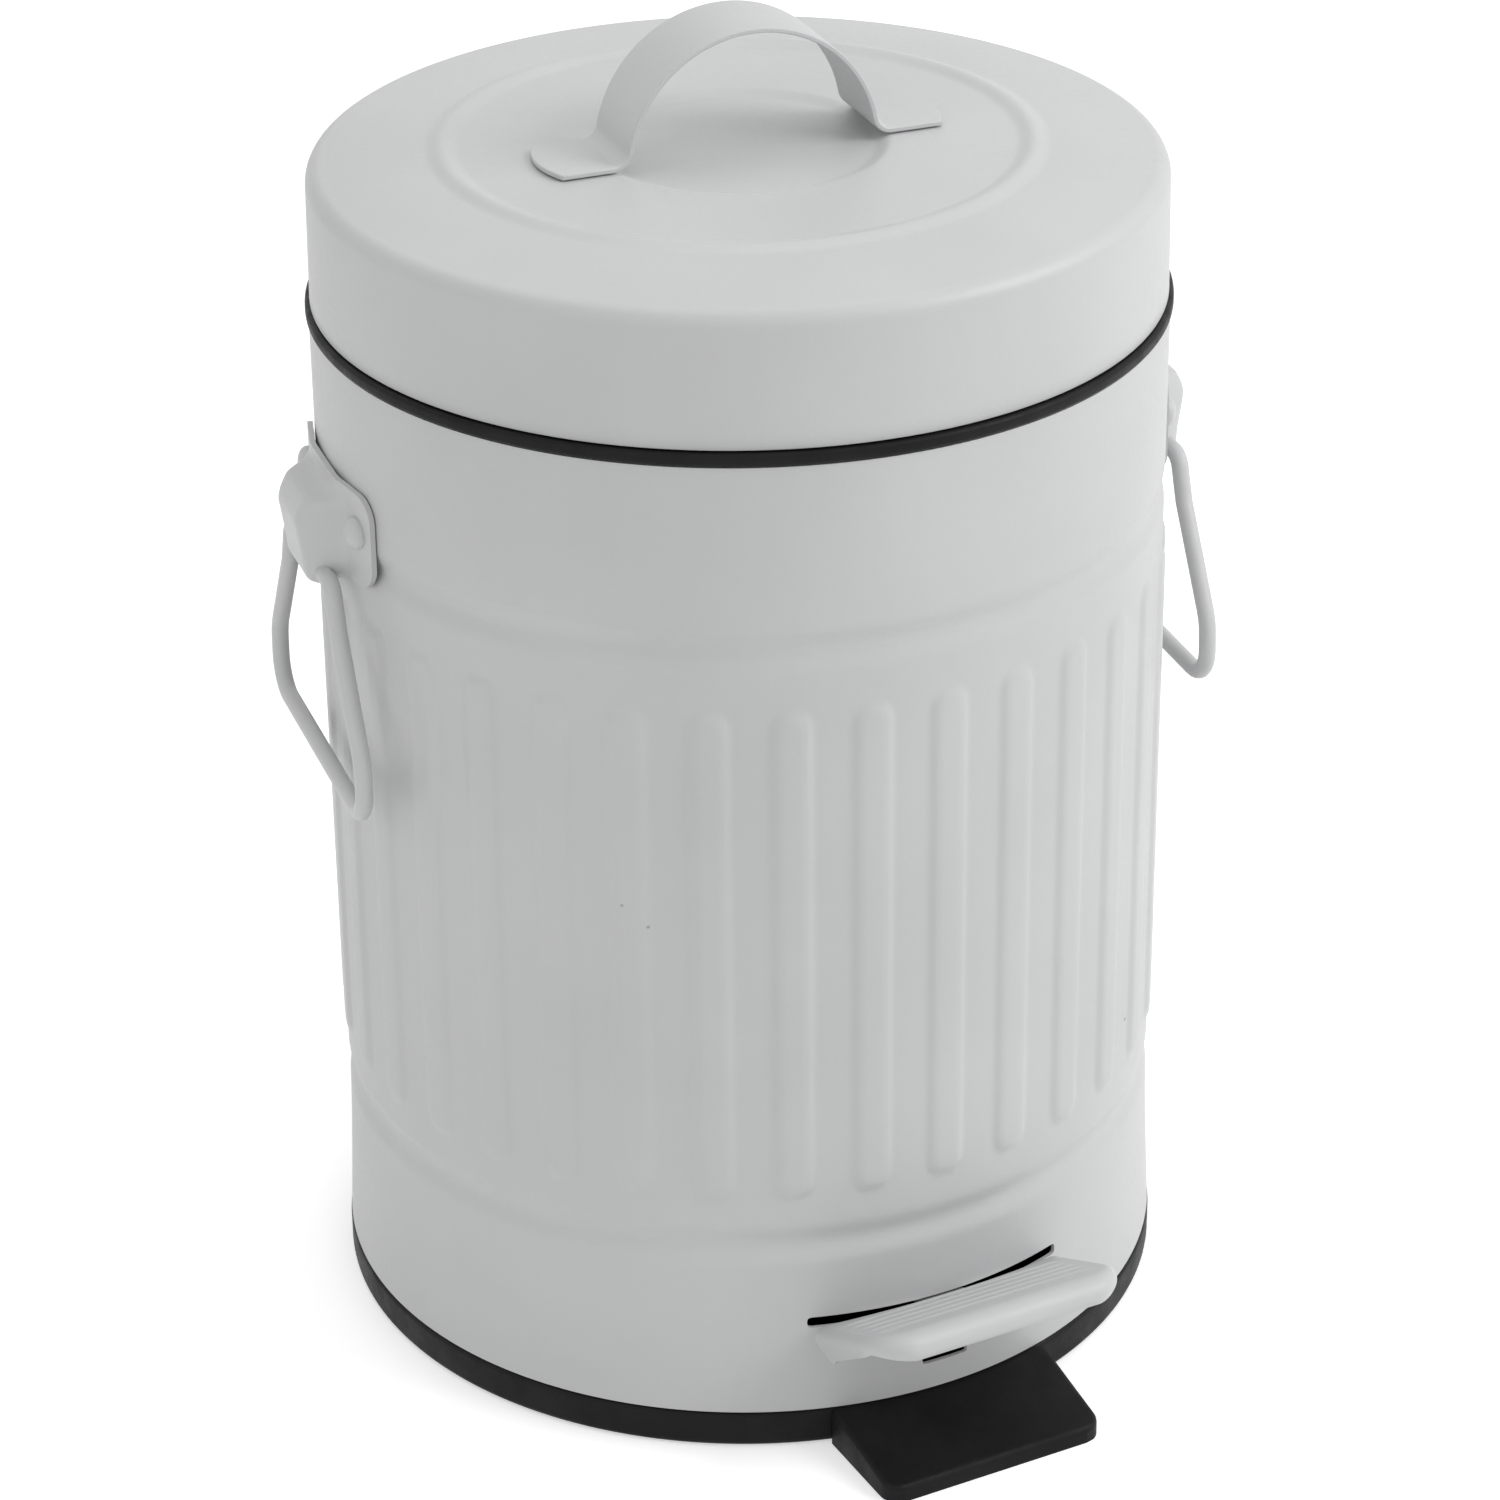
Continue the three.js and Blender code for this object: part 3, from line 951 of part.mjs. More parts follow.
for (const [side, turn] of handleSides) {
  const handle = new THREE.Group();
  handle.rotation.z = turn;
  handle.add(mesh(`handle_bracket_${side}`, earBracket(), paint()));
  handle.add(mesh(`handle_bail_${side}`, bail(), paint()));
  earRivetPlaces().forEach((angle, i) => {
    const shape = solid(rivet(earGrip(), RIVET_HEAD_R, RIVET_DOME));
    const head = mesh(`handle_rivet_${side}_${i + 1}`, shape, paint());
    head.position.set(BODY_BORE_R * Math.cos(angle), BODY_BORE_R * Math.sin(angle), EAR_RIVET_Z);
    head.rotation.z = angle;
    handle.add(head);
  });
  bin.add(handle);
}

bin.add(mesh('bucket', bucket(), plastic()));
bin.add(mesh('bucket_bail', bucketBail(), zinc()));

export default bin;
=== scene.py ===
"""Looks of a small round pedal bin in painted sheet steel.

Sizes below are in millimetres and the meshes in metres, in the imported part's own frame: +Z up,
the origin on the floor under the body's axis, the pedal towards -Y. Every new shape is a grid
of points worked out with numpy.
"""

import math

import bpy
import numpy as np
from bpy.props import FloatProperty, FloatVectorProperty, IntProperty, PointerProperty
from mathutils import Matrix, Vector


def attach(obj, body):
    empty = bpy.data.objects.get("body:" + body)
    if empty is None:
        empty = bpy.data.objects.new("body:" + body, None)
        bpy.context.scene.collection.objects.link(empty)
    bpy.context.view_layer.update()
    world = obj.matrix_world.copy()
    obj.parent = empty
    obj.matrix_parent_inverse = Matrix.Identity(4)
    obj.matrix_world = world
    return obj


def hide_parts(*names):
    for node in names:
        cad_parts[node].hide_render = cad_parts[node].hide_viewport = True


bl_info = {
    "name": "Pedal Bin Looks",
    "version": (1, 0, 0),
    "blender": (4, 5, 0),
    "location": "3D View > Sidebar > Pedal Bin",
    "description": "Builds the visible pieces of a small round pedal bin around its packed frame",
    "category": "Add Mesh",
}

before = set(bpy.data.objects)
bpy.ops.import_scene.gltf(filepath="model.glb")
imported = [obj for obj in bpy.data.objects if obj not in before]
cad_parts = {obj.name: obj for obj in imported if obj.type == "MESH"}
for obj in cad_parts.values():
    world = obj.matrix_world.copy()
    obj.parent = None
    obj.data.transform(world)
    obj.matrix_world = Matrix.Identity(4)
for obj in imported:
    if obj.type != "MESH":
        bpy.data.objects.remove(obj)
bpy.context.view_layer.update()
MM = 0.001
LID_LOW = 216.4
SIDES = {"right": -8.3, "left": 171.7}
EAR_HIGH = 191.0
WIRE_OUT, WIRE_HIGH = 88.3, 171.5
TREAD_SLOPE = 0.48


def size(name, default, about):
    """A size in millimetres."""
    return FloatProperty(
        name=name, description=f"{about}, in millimetres", default=default, min=0.0, max=400.0)


def tint(name, default, about):
    """The colour of a finish."""
    return FloatVectorProperty(
        name=name, description=about, subtype="COLOR", size=3, default=default, min=0.0, max=1.0)


class BinSizes(bpy.types.PropertyGroup):
    """Sizes of the bin's visible pieces."""

    body_radius: size("Body radius", 84.0, "Outside radius of the body's sheet")
    body_sheet: size("Body sheet", 0.8, "Thickness of the body's sheet")
    foot_radius: size("Foot radius", 85.3, "Radius that the body flares to at its foot")
    body_low: size("Body foot", 8.3, "Height of the body's lower edge")
    body_high: size("Body rim", 213.2, "Height of the body's upper edge")
    groove_low: size("Lower groove", 46.6, "Height of the lower groove's middle")
    groove_high: size("Upper groove", 176.0, "Height of the upper groove's middle")
    groove_depth: size("Groove depth", 1.2, "Depth of both grooves")
    groove_half: size("Groove half width", 4.6, "Half the height of a groove")
    rib_count: IntProperty(
        name="Ribs", description="Number of raised ribs around the body", default=34, min=3)
    rib_half: size("Rib half width", 4.4, "Half the width of a rib at its foot")
    rib_crest: size("Rib crest", 2.4, "Half the width of a rib's flat crest")
    rib_height: size("Rib height", 0.75, "How far a rib stands out")
    rib_low: size("Rib low end", 56.8, "Height of the ribs' lower ends")
    rib_high: size("Rib high end", 164.5, "Height of the ribs' upper ends")
    slot_half: size("Slot half width", 28.8, "Half the width of the pedal slot")
    slot_high: size("Slot high", 29.6, "Height of the slot's upper edge")
    slit_low: size("Slit low", 27.2, "Height of the lower edge where the slot is wide")
    well_half: size("Well half width", 5.1, "Half the width of the slot's deep middle")
    well_low: size("Well low", 14.1, "Height of the lower edge of the slot's deep middle")
    lid_radius: size("Lid radius", 83.65, "Radius of the lid's skirt at its lower edge")
    lid_top_radius: size("Lid top radius", 83.3, "Radius of the lid's skirt at its top")
    lid_edge: size("Lid edge", 242.9, "Height of the lid's rounded edge")
    lid_plateau: size("Lid middle", 245.0, "Height of the lid's middle")
    lid_fillet: size("Lid fillet", 3.5, "Radius of the lid's rounded edge")
    bead_radius: size("Embossed ring", 57.0, "Radius of the ring embossed in the lid")
    dish_radius: size("Dish radius", 28.0, "Radius of the dish in the lid's middle")
    strap_width: size("Strap width", 18.0, "Width of the lid's strap handle")
    tread_half: size("Tread half width", 28.2, "Half the width of the pedal's tread")
    tread_sheet: size("Tread sheet", 1.2, "Thickness of the pedal's sheet")
    bail_radius: size("Wire radius", 1.75, "Radius of the side handles' wire")


class BinColours(bpy.types.PropertyGroup):
    """Colours of the bin's finishes."""

    paint: tint("Paint", (0.56, 0.563, 0.567), "Pale grey powder coat")
    black: tint("Black", (0.006, 0.006, 0.0065), "Black moulded plastic")
    pail: tint("Bucket", (0.07, 0.075, 0.08), "Grey moulded plastic of the bucket")
    zinc: tint("Zinc", (0.55, 0.56, 0.57), "Zinc-plated steel of the hidden fittings")
    floor: tint("Floor", (0.9, 0.9, 0.9), "Plain pale floor")


def sizes():
    """The scene's sizes of the bin."""
    return bpy.context.scene.bin_sizes


# ---- Grids ----


def grid_quads(rows, columns, wrap_rows=False, wrap_columns=False):
    """Faces between neighbours of a rows by columns grid, as whole index arrays."""
    index = np.arange(rows * columns).reshape(rows, columns)
    if wrap_rows:
        index = np.vstack([index, index[:1]])
    if wrap_columns:
        index = np.hstack([index, index[:, :1]])
    return np.stack([index[:-1, :-1], index[:-1, 1:], index[1:, 1:], index[1:, :-1]], -1).reshape(-1, 4)


def open_edges(quads):
    """Directed edges that only one face uses."""
    edges = np.concatenate([quads[:, [0, 1]], quads[:, [1, 2]], quads[:, [2, 3]], quads[:, [3, 0]]])
    keys = np.sort(edges, 1)
    _, inverse, counts = np.unique(keys, axis=0, return_inverse=True, return_counts=True)
    return edges[counts[inverse.ravel()] == 1]


def thicken(outer, inner, quads):
    """Closes a sheet: the outer faces, the same faces turned over on the inner points, and a
    strip along every open edge."""
    count = len(outer)
    rim = open_edges(quads)
    strips = np.stack([rim[:, 1], rim[:, 0], rim[:, 0] + count, rim[:, 1] + count], -1)
    return np.vstack([outer, inner]), np.vstack([quads, quads[:, ::-1] + count, strips])


def normals(points, wrap_columns=False):
    """Unit normals of a grid: the cross product of its two differences at each point."""
    down = np.gradient(points, axis=0)
    if wrap_columns:
        across = (np.roll(points, -1, 1) - np.roll(points, 1, 1)) / 2
    else:
        across = np.gradient(points, axis=1)
    cross = np.cross(across, down)
    return cross / np.maximum(np.linalg.norm(cross, axis=-1, keepdims=True), 1e-12)


def put(name, points, faces, material, body, nodes=(), sharp=38.0, bevel=0.0):
    """Makes one mesh object from points in millimetres and index faces, and hands it to the frame."""
    mesh = bpy.data.meshes.new(name)
    mesh.from_pydata((np.asarray(points, float).reshape(-1, 3) * MM).tolist(), [], [list(f) for f in faces])
    mesh.update()
    mesh.polygons.foreach_set("use_smooth", np.ones(len(mesh.polygons), bool))
    mesh.set_sharp_from_angle(angle=math.radians(sharp))
    mesh.materials.append(material)
    piece = bpy.data.objects.new(name, mesh)
    bpy.context.scene.collection.objects.link(piece)
    if bevel:
        edge = piece.modifiers.new("edge", "BEVEL")
        edge.width = bevel * MM
        edge.segments = 2
        edge.limit_method = "ANGLE"
        edge.angle_limit = math.radians(50)
    if nodes:
        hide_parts(*nodes)
    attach(piece, body)
    return piece


def stack(*parts):
    """Several (points, faces) shapes as one, with the later faces counted on."""
    points, faces, count = [], [], 0
    for shape, quads in parts:
        flat = np.asarray(shape).reshape(-1, 3)
        points.append(flat)
        faces.extend([[i + count for i in face] for face in np.asarray(quads, int).tolist()])
        count += len(flat)
    return np.vstack(points), faces


def turned(profile, columns=192, wrap=True):
    """A closed [radius, height] profile turned about Z: x = r cos a, y = r sin a, z."""
    profile = np.asarray(profile, float)
    angle = np.linspace(0, 2 * np.pi, columns, endpoint=False)
    points = np.stack([profile[:, :1] * np.cos(angle), profile[:, :1] * np.sin(angle),
                       np.broadcast_to(profile[:, 1:], (len(profile), columns))], -1)
    return points.reshape(-1, 3), grid_quads(len(profile), columns, wrap, True)


def dome(radius, height, foot, columns=32):
    """A rivet head on z = 0: a short straight side, a quarter ellipse and a closing fan."""
    turn = np.linspace(0, np.pi / 2, 9)[:-1]
    r = np.concatenate([[radius * 0.96, radius], radius * np.cos(turn)])
    z = np.concatenate([[-0.4, foot * 0.4], foot + (height - foot) * np.sin(turn)])
    angle = np.linspace(0, 2 * np.pi, columns, endpoint=False)
    points = np.stack([
        r[:, None] * np.cos(angle), r[:, None] * np.sin(angle), np.repeat(z[:, None], columns, 1)], -1)
    quads = grid_quads(len(r), columns, False, True).tolist()
    top = len(r) * columns
    last = (len(r) - 1) * columns
    ring = np.arange(columns)
    fan = np.stack([last + ring, last + (ring + 1) % columns, np.full(columns, top)], -1).tolist()
    under = [list(range(columns))[::-1]]
    return np.vstack([points.reshape(-1, 3), [[0, 0, height]]]), quads + fan + under


def placed(points, origin, x_axis, y_axis, z_axis):
    """Points carried from their own axes to the bin's."""
    return np.asarray(points) @ np.array([x_axis, y_axis, z_axis], float) + np.asarray(origin, float)


def rounded_path(corners, radii, steps=8):
    """A path of straight runs whose corners are replaced by circle arcs of the given radii."""
    corners = np.asarray(corners, float)
    path = [corners[:1]]
    for before, at, after, radius in zip(corners[:-2], corners[1:-1], corners[2:], radii):
        back = (before - at) / np.linalg.norm(before - at)
        ahead = (after - at) / np.linalg.norm(after - at)
        half = math.acos(float(np.clip(back @ ahead, -1, 1))) / 2
        middle = (back + ahead) / np.linalg.norm(back + ahead)
        centre = at + middle * radius / math.sin(half)
        start = at + back * radius / math.tan(half) - centre
        side = np.cross(np.cross(start, at + ahead * radius / math.tan(half) - centre), start)
        side = side / np.linalg.norm(side) * radius
        turn = np.linspace(0, np.pi - 2 * half, steps)[:, None]
        path.append(centre + start * np.cos(turn) + side * np.sin(turn))
    path.append(corners[-1:])
    return np.vstack(path)


def wire(path, radius, sides=20):
    """A round wire: a circle carried along a path in the plane square to its direction, with
    rounded ends."""
    path = np.asarray(path, float)
    keep = np.concatenate([[True], np.linalg.norm(np.diff(path, axis=0), axis=1) > 1e-6])
    path = path[keep]
    along = np.gradient(path, axis=0)
    along /= np.linalg.norm(along, axis=1, keepdims=True)
    spread = path - path.mean(0)
    plane = np.linalg.svd(spread, full_matrices=False)[2][2]
    side = np.cross(plane, along)
    side /= np.linalg.norm(side, axis=1, keepdims=True)
    lift = np.cross(along, side)
    angle = np.linspace(0, 2 * np.pi, sides, endpoint=False)
    circle = side[:, None] * np.cos(angle)[None, :, None] + lift[:, None] * np.sin(angle)[None, :, None]
    shoulder, tip = 0.92, 0.6
    near, far = radius * 0.1, radius * 0.25
    points = np.concatenate([
        [path[0] - along[0] * far + circle[0] * radius * tip],
        [path[0] - along[0] * near + circle[0] * radius * shoulder],
        path[:, None] + circle * radius,
        [path[-1] + along[-1] * near + circle[-1] * radius * shoulder],
        [path[-1] + along[-1] * far + circle[-1] * radius * tip]])
    quads = grid_quads(len(points), sides, False, True).tolist()
    total = len(points) * sides
    caps = [list(range(sides))[::-1], list(range(total - sides, total))]
    return points.reshape(-1, 3), quads + caps


def smooth(x):
    """The smooth step from 0 at 0 to 1 at 1."""
    x = np.clip(x, 0, 1)
    return x * x * (3 - 2 * x)


# ---- Finishes ----


def nodes_of(name):
    """A new node material with its node tree, its shader and its Object coordinates."""
    material = bpy.data.materials.new(name)
    material.use_nodes = True
    tree = material.node_tree
    shader = tree.nodes["Principled BSDF"]
    place = tree.nodes.new("ShaderNodeTexCoord").outputs["Object"]
    return material, tree, shader, place


def noise(tree, place, scale, detail=3.0, rough=0.5):
    """A noise texture on the piece's own coordinates."""
    node = tree.nodes.new("ShaderNodeTexNoise")
    node.inputs["Scale"].default_value = scale
    node.inputs["Detail"].default_value = detail
    node.inputs["Roughness"].default_value = rough
    tree.links.new(place, node.inputs["Vector"])
    return node.outputs["Fac"]


def spread(tree, value, low, high, from_low=0.0, from_high=1.0):
    """A value carried from one range to another."""
    node = tree.nodes.new("ShaderNodeMapRange")
    node.inputs["From Min"].default_value = from_low
    node.inputs["From Max"].default_value = from_high
    node.inputs["To Min"].default_value = low
    node.inputs["To Max"].default_value = high
    tree.links.new(value, node.inputs["Value"])
    return node.outputs["Result"]


def blend(tree, share, first, second):
    """A mix of two colours by a share."""
    node = tree.nodes.new("ShaderNodeMix")
    node.data_type = "RGBA"
    tree.links.new(share, node.inputs["Factor"])
    for socket, colour in zip((node.inputs[6], node.inputs[7]), (first, second)):
        if isinstance(colour, bpy.types.NodeSocket):
            tree.links.new(colour, socket)
        else:
            socket.default_value = (*colour, 1.0)
    return node.outputs[2]


def bump(tree, heights, strength, distance):
    """A bump from the sum of some heights."""
    total = heights[0]
    for height in heights[1:]:
        add = tree.nodes.new("ShaderNodeMath")
        tree.links.new(total, add.inputs[0])
        tree.links.new(height, add.inputs[1])
        total = add.outputs[0]
    node = tree.nodes.new("ShaderNodeBump")
    node.inputs["Strength"].default_value = strength
    node.inputs["Distance"].default_value = distance
    tree.links.new(total, node.inputs["Height"])
    return node.outputs["Normal"]


def shade(colour, factor):
    """A colour made darker or lighter by a factor."""
    return tuple(min(1.0, channel * factor) for channel in colour)


def paint():
    """Satin powder coat: a faint cloudiness, fine orange peel, and a few specks of dust."""
    if "powder_coat" in bpy.data.materials:
        return bpy.data.materials["powder_coat"]
    material, tree, shader, place = nodes_of("powder_coat")
    colour = bpy.context.scene.bin_colours.paint
    cloud = noise(tree, place, 22.0, 2.0)
    base = blend(tree, spread(tree, cloud, 0.0, 1.0, 0.35, 0.65), shade(colour, 0.975), shade(colour, 1.02))
    speck = tree.nodes.new("ShaderNodeTexVoronoi")
    speck.inputs["Scale"].default_value = 55.0
    tree.links.new(place, speck.inputs["Vector"])
    near = spread(tree, speck.outputs["Distance"], 1.0, 0.0, 0.02, 0.035)
    rare = spread(tree, noise(tree, place, 31.0, 0.0), 0.0, 1.0, 0.66, 0.7)
    both = tree.nodes.new("ShaderNodeMath")
    both.operation = "MULTIPLY"
    tree.links.new(near, both.inputs[0])
    tree.links.new(rare, both.inputs[1])
    tree.links.new(blend(tree, both.outputs[0], base, shade(colour, 0.45)), shader.inputs["Base Color"])
    peel = noise(tree, place, 900.0, 2.0, 0.6)
    swell = noise(tree, place, 240.0, 1.0)
    tree.links.new(spread(tree, peel, 0.38, 0.5, 0.3, 0.7), shader.inputs["Roughness"])
    tree.links.new(bump(tree, [peel, swell], 0.09, 0.0004), shader.inputs["Normal"])
    return material


def black_plastic():
    """Moulded black plastic: a fine spark grain, a slight bloom and faint scuffs."""
    if "black_moulding" in bpy.data.materials:
        return bpy.data.materials["black_moulding"]
    material, tree, shader, place = nodes_of("black_moulding")
    colour = bpy.context.scene.bin_colours.black
    bloom = spread(tree, noise(tree, place, 60.0, 4.0), 0.0, 1.0, 0.4, 0.75)
    tree.links.new(blend(tree, bloom, colour, shade(colour, 1.9)), shader.inputs["Base Color"])
    shader.inputs["Specular IOR Level"].default_value = 0.15
    grain = noise(tree, place, 1500.0, 2.0, 0.6)
    scuff = noise(tree, place, 130.0, 5.0, 0.7)
    tree.links.new(spread(tree, scuff, 0.42, 0.62, 0.35, 0.7), shader.inputs["Roughness"])
    tree.links.new(bump(tree, [grain], 0.16, 0.0003), shader.inputs["Normal"])
    return material


def grey_plastic():
    """Matt grey plastic of the bucket, with a soft moulding grain."""
    if "bucket_moulding" in bpy.data.materials:
        return bpy.data.materials["bucket_moulding"]
    material, tree, shader, place = nodes_of("bucket_moulding")
    colour = bpy.context.scene.bin_colours.pail
    tone = spread(tree, noise(tree, place, 35.0, 3.0), 0.0, 1.0, 0.35, 0.7)
    tree.links.new(blend(tree, tone, shade(colour, 0.92), shade(colour, 1.12)), shader.inputs["Base Color"])
    grain = noise(tree, place, 1100.0, 2.0)
    tree.links.new(spread(tree, grain, 0.45, 0.58, 0.3, 0.7), shader.inputs["Roughness"])
    tree.links.new(bump(tree, [grain], 0.12, 0.0003), shader.inputs["Normal"])
    return material


def zinc():
    """Zinc-plated steel: metallic, with drawn streaks and a mottled sheen."""
    if "zinc_plate" in bpy.data.materials:
        return bpy.data.materials["zinc_plate"]
    material, tree, shader, place = nodes_of("zinc_plate")
    colour = bpy.context.scene.bin_colours.zinc
    stretch = tree.nodes.new("ShaderNodeMapping")
    stretch.inputs["Scale"].default_value = (1.0, 1.0, 0.06)
    tree.links.new(place, stretch.inputs["Vector"])
    streak = noise(tree, stretch.outputs["Vector"], 900.0, 3.0)
    mottle = spread(tree, noise(tree, place, 180.0, 3.0), 0.0, 1.0, 0.35, 0.65)
    tree.links.new(blend(tree, mottle, shade(colour, 0.85), shade(colour, 1.1)), shader.inputs["Base Color"])
    shader.inputs["Metallic"].default_value = 1.0
    tree.links.new(spread(tree, streak, 0.28, 0.45, 0.3, 0.7), shader.inputs["Roughness"])
    tree.links.new(bump(tree, [streak], 0.1, 0.0002), shader.inputs["Normal"])
    return material


# ---- Body ----


def rounded_slot(u, z, centre, half, corner):
    """Signed distance to a rounded rectangle: below zero inside it."""
    q = np.stack([np.abs(u - centre[0]) - (half[0] - corner), np.abs(z - centre[1]) - (half[1] - corner)], -1)
    return np.linalg.norm(np.maximum(q, 0), axis=-1) + np.minimum(q.max(-1), 0) - corner


def body_gap(u, z):
    """Signed distance to the body's two openings, below zero inside them: the pedal's slot, a wide
    slit with a deeper middle, and the notch behind for the lid's arm."""
    s = sizes()
    behind = np.pi * s.body_radius - np.abs(u)

    def opening(across, half, low, high, corner):
        """One opening between two heights."""
        return rounded_slot(across, z, (0.0, (high + low) / 2), (half, (high - low) / 2), corner)

    slit = opening(u, s.slot_half, s.slit_low, s.slot_high, 0.8)
    well = opening(u, s.well_half, s.well_low, s.slot_high, 0.6)
    notch_half, notch_low, above_rim = 3.0, 204.9, 225.1
    notch = opening(behind, notch_half, notch_low, above_rim, 1.0)
    return np.minimum(np.minimum(slit, well), notch)


def body_radius(u, z):
    """The outside radius where u is the distance along the surface from the front: the straight
    or flared wall, less two smooth grooves, plus round-ended ribs whose height falls smoothly
    with the distance from each rib's middle line."""
    s = sizes()
    foot = s.groove_low - s.groove_half
    flare = np.clip((foot - z) / (foot - s.body_low), 0, 1) ** 1.3
    wall = s.body_radius + (s.foot_radius - s.body_radius) * flare
    for middle in (s.groove_low, s.groove_high):
        wall = wall - s.groove_depth * smooth(1 - np.abs(z - middle) / s.groove_half)
    pitch = 2 * np.pi * s.body_radius / s.rib_count
    across = (u + pitch / 2) % pitch - pitch / 2
    middle, reach = (s.rib_low + s.rib_high) / 2, (s.rib_high - s.rib_low) / 2
    beyond = np.maximum(np.abs(z - middle) - reach + s.rib_half, 0)
    near = np.hypot(across, beyond)
    return wall + s.rib_height * smooth((s.rib_half - near) / (s.rib_half - s.rib_crest))


class BINLOOKS_OT_body(bpy.types.Operator):
    """Body: a ribbed, grooved wall on a grid of angle and height. The faces inside its openings are
    left out, and the points along each opening are moved onto its edge, down the slope of the
    signed distance"""

    bl_idname = "binlooks.body"
    bl_label = "Body"

    def execute(self, context):
        s = sizes()
        ring = 2 * np.pi * s.body_radius
        pitch = ring / s.rib_count
        rib_side = np.array([1.2, 2.6, 3.2, 3.8, 4.4, 5.1, 6.0])
        steps = np.concatenate([[-7.2], -rib_side[::-1], rib_side])
        u = (np.arange(s.rib_count)[:, None] * pitch + steps).ravel() - ring / 2
        foot = np.linspace(s.body_low, s.well_low - 0.8, 4)
        well = np.arange(s.well_low, s.slit_low - 1, 1.2)
        slit = np.arange(s.slit_low - 0.6, s.slot_high + 0.9, 0.4)
        above_slot = np.linspace(s.slot_high + 2, 41, 4)
        low_groove, rib_feet = np.arange(42, 51.6, 0.9), np.arange(52, 61.6, 0.95)
        ribs, rib_heads = np.linspace(62, 159, 5), np.arange(160, 166, 0.75)
        high_groove, neck = np.arange(171, 181.2, 0.9), np.linspace(182, s.body_high, 8)
        z = np.concatenate([foot, well, slit, above_slot, low_groove, rib_feet, ribs, rib_heads,
                            [167, 169], high_groove, neck])
        grid_u, grid_z = np.meshgrid(u, z)
        quads = grid_quads(len(z), len(u), False, True)
        flat_u, flat_z = grid_u.ravel().copy(), grid_z.ravel().copy()
        corner_u = flat_u[quads]
        turn = corner_u.max(1) - corner_u.min(1) > ring / 2
        corner_u = np.where(turn[:, None] & (corner_u < 0), corner_u + ring, corner_u)
        keep = body_gap(corner_u.mean(1), flat_z[quads].mean(1)) > 0
        edge = np.intersect1d(np.unique(quads[keep]), np.unique(quads[~keep]))
        tiny, snaps = 1e-4, 3
        for _ in range(snaps):
            gap = body_gap(flat_u[edge], flat_z[edge])
            slope_u = (body_gap(flat_u[edge] + tiny, flat_z[edge]) - gap) / tiny
            slope_z = (body_gap(flat_u[edge], flat_z[edge] + tiny) - gap) / tiny
            flat_u[edge] -= gap * slope_u
            flat_z[edge] -= gap * slope_z
        flat_z = np.clip(flat_z, s.body_low, s.body_high)
        angle = flat_u / s.body_radius - np.pi / 2
        radius = body_radius(flat_u, flat_z)
        outward = np.stack([np.cos(angle), np.sin(angle), np.zeros_like(angle)], -1)
        outer = outward * radius[:, None] + np.array([0, 0, 1]) * flat_z[:, None]
        inner = outer - outward * s.body_sheet
        points, faces = thicken(outer, inner, quads[keep])
        used = np.unique(faces)
        lookup = np.full(len(points), -1)
        lookup[used] = np.arange(len(used))
        put("body_wall", points[used], lookup[faces], paint(), "bin", ["body_shell"])
        return {"FINISHED"}


# ---- Base ----


class BINLOOKS_OT_base(bpy.types.Operator):
    """Base: a turned dish with soft edges, the tongue under the pedal and two lugs for the pedal's pin"""

    bl_idname = "binlooks.base"
    bl_label = "Base"

    def execute(self, context):
        turn = np.linspace(0, np.pi / 2, 7)
        foot_round, ledge_round = 1.6, 1.2
        low = np.stack([83.9 + foot_round * np.sin(turn), foot_round - foot_round * np.cos(turn)], -1)
        high = np.stack([84.3 + ledge_round * np.cos(turn), 6.8 + ledge_round * np.sin(turn)], -1)
        lip = [[83.9, 8], [83.9, 10.6], [83.5, 11], [82.6, 11], [82.3, 10.6]]
        inside = [[82.3, 3], [81.5, 2.2], [0.01, 2.2]]
        dish = turned(np.vstack([[[0.01, 0]], [[60, 0]], low, high, lip, inside]), 224)
        across, along = np.meshgrid(np.linspace(-1, 1, 41), np.linspace(0, 1, 41) ** 0.8)
        tip, tongue_half, corner_radius, edge_round = 106.5, 24.5, 4.0, 1.1
        y = -82.5 - along * 24.0
        front = y + tip
        corner = np.clip(corner_radius - front, 0, corner_radius)
        half = tongue_half - (corner_radius - np.sqrt(np.maximum(corner_radius**2 - corner**2, 0)))
        x = np.sin(across * np.pi / 2) * half
        edge = np.minimum(half - np.abs(x), front)
        bend = np.clip(1 - edge / edge_round, 0, 1)
        fall = edge_round * (1 - np.sqrt(np.maximum(1 - bend**2, 0)))
        top = np.interp(-y, [82, 85.2, tip], [8.0, 7.9, 3.4]) - fall
        outer = np.stack([x, y, top], -1).reshape(-1, 3)
        inner = outer * [1, 1, 0]
        tongue = thicken(outer, inner, grid_quads(41, 41)[:, ::-1])
        lugs = []
        pin_y, pin_z, lug_radius, lug_width, lug_foot = -15, 17, 5, 3, 1.5
        arch = np.linspace(0, np.pi, 25)
        round_top = np.stack([pin_y + lug_radius * np.cos(arch), pin_z + lug_radius * np.sin(arch)], -1)
        side = np.vstack([[[-8, lug_foot]], round_top, [[-22, lug_foot]]])
        count = len(side)
        for low_x in (-11.5, 8.5):
            rim = np.stack([np.full(count, low_x), side[:, 0], side[:, 1]], -1)
            walls = [[i, (i + 1) % count, (i + 1) % count + count, i + count] for i in range(count)]
            caps = [list(range(count))[::-1], list(range(count, 2 * count))]
            lugs.append((np.vstack([rim, rim + [lug_width, 0, 0]]), walls + caps))
        points, faces = stack(dish, tongue)
        for shape, sides in lugs:
            faces += [[i + len(points) for i in face] for face in sides]
            points = np.vstack([points, shape])
        put("base_moulding", points, faces, black_plastic(), "bin", ["base"])
        return {"FINISHED"}


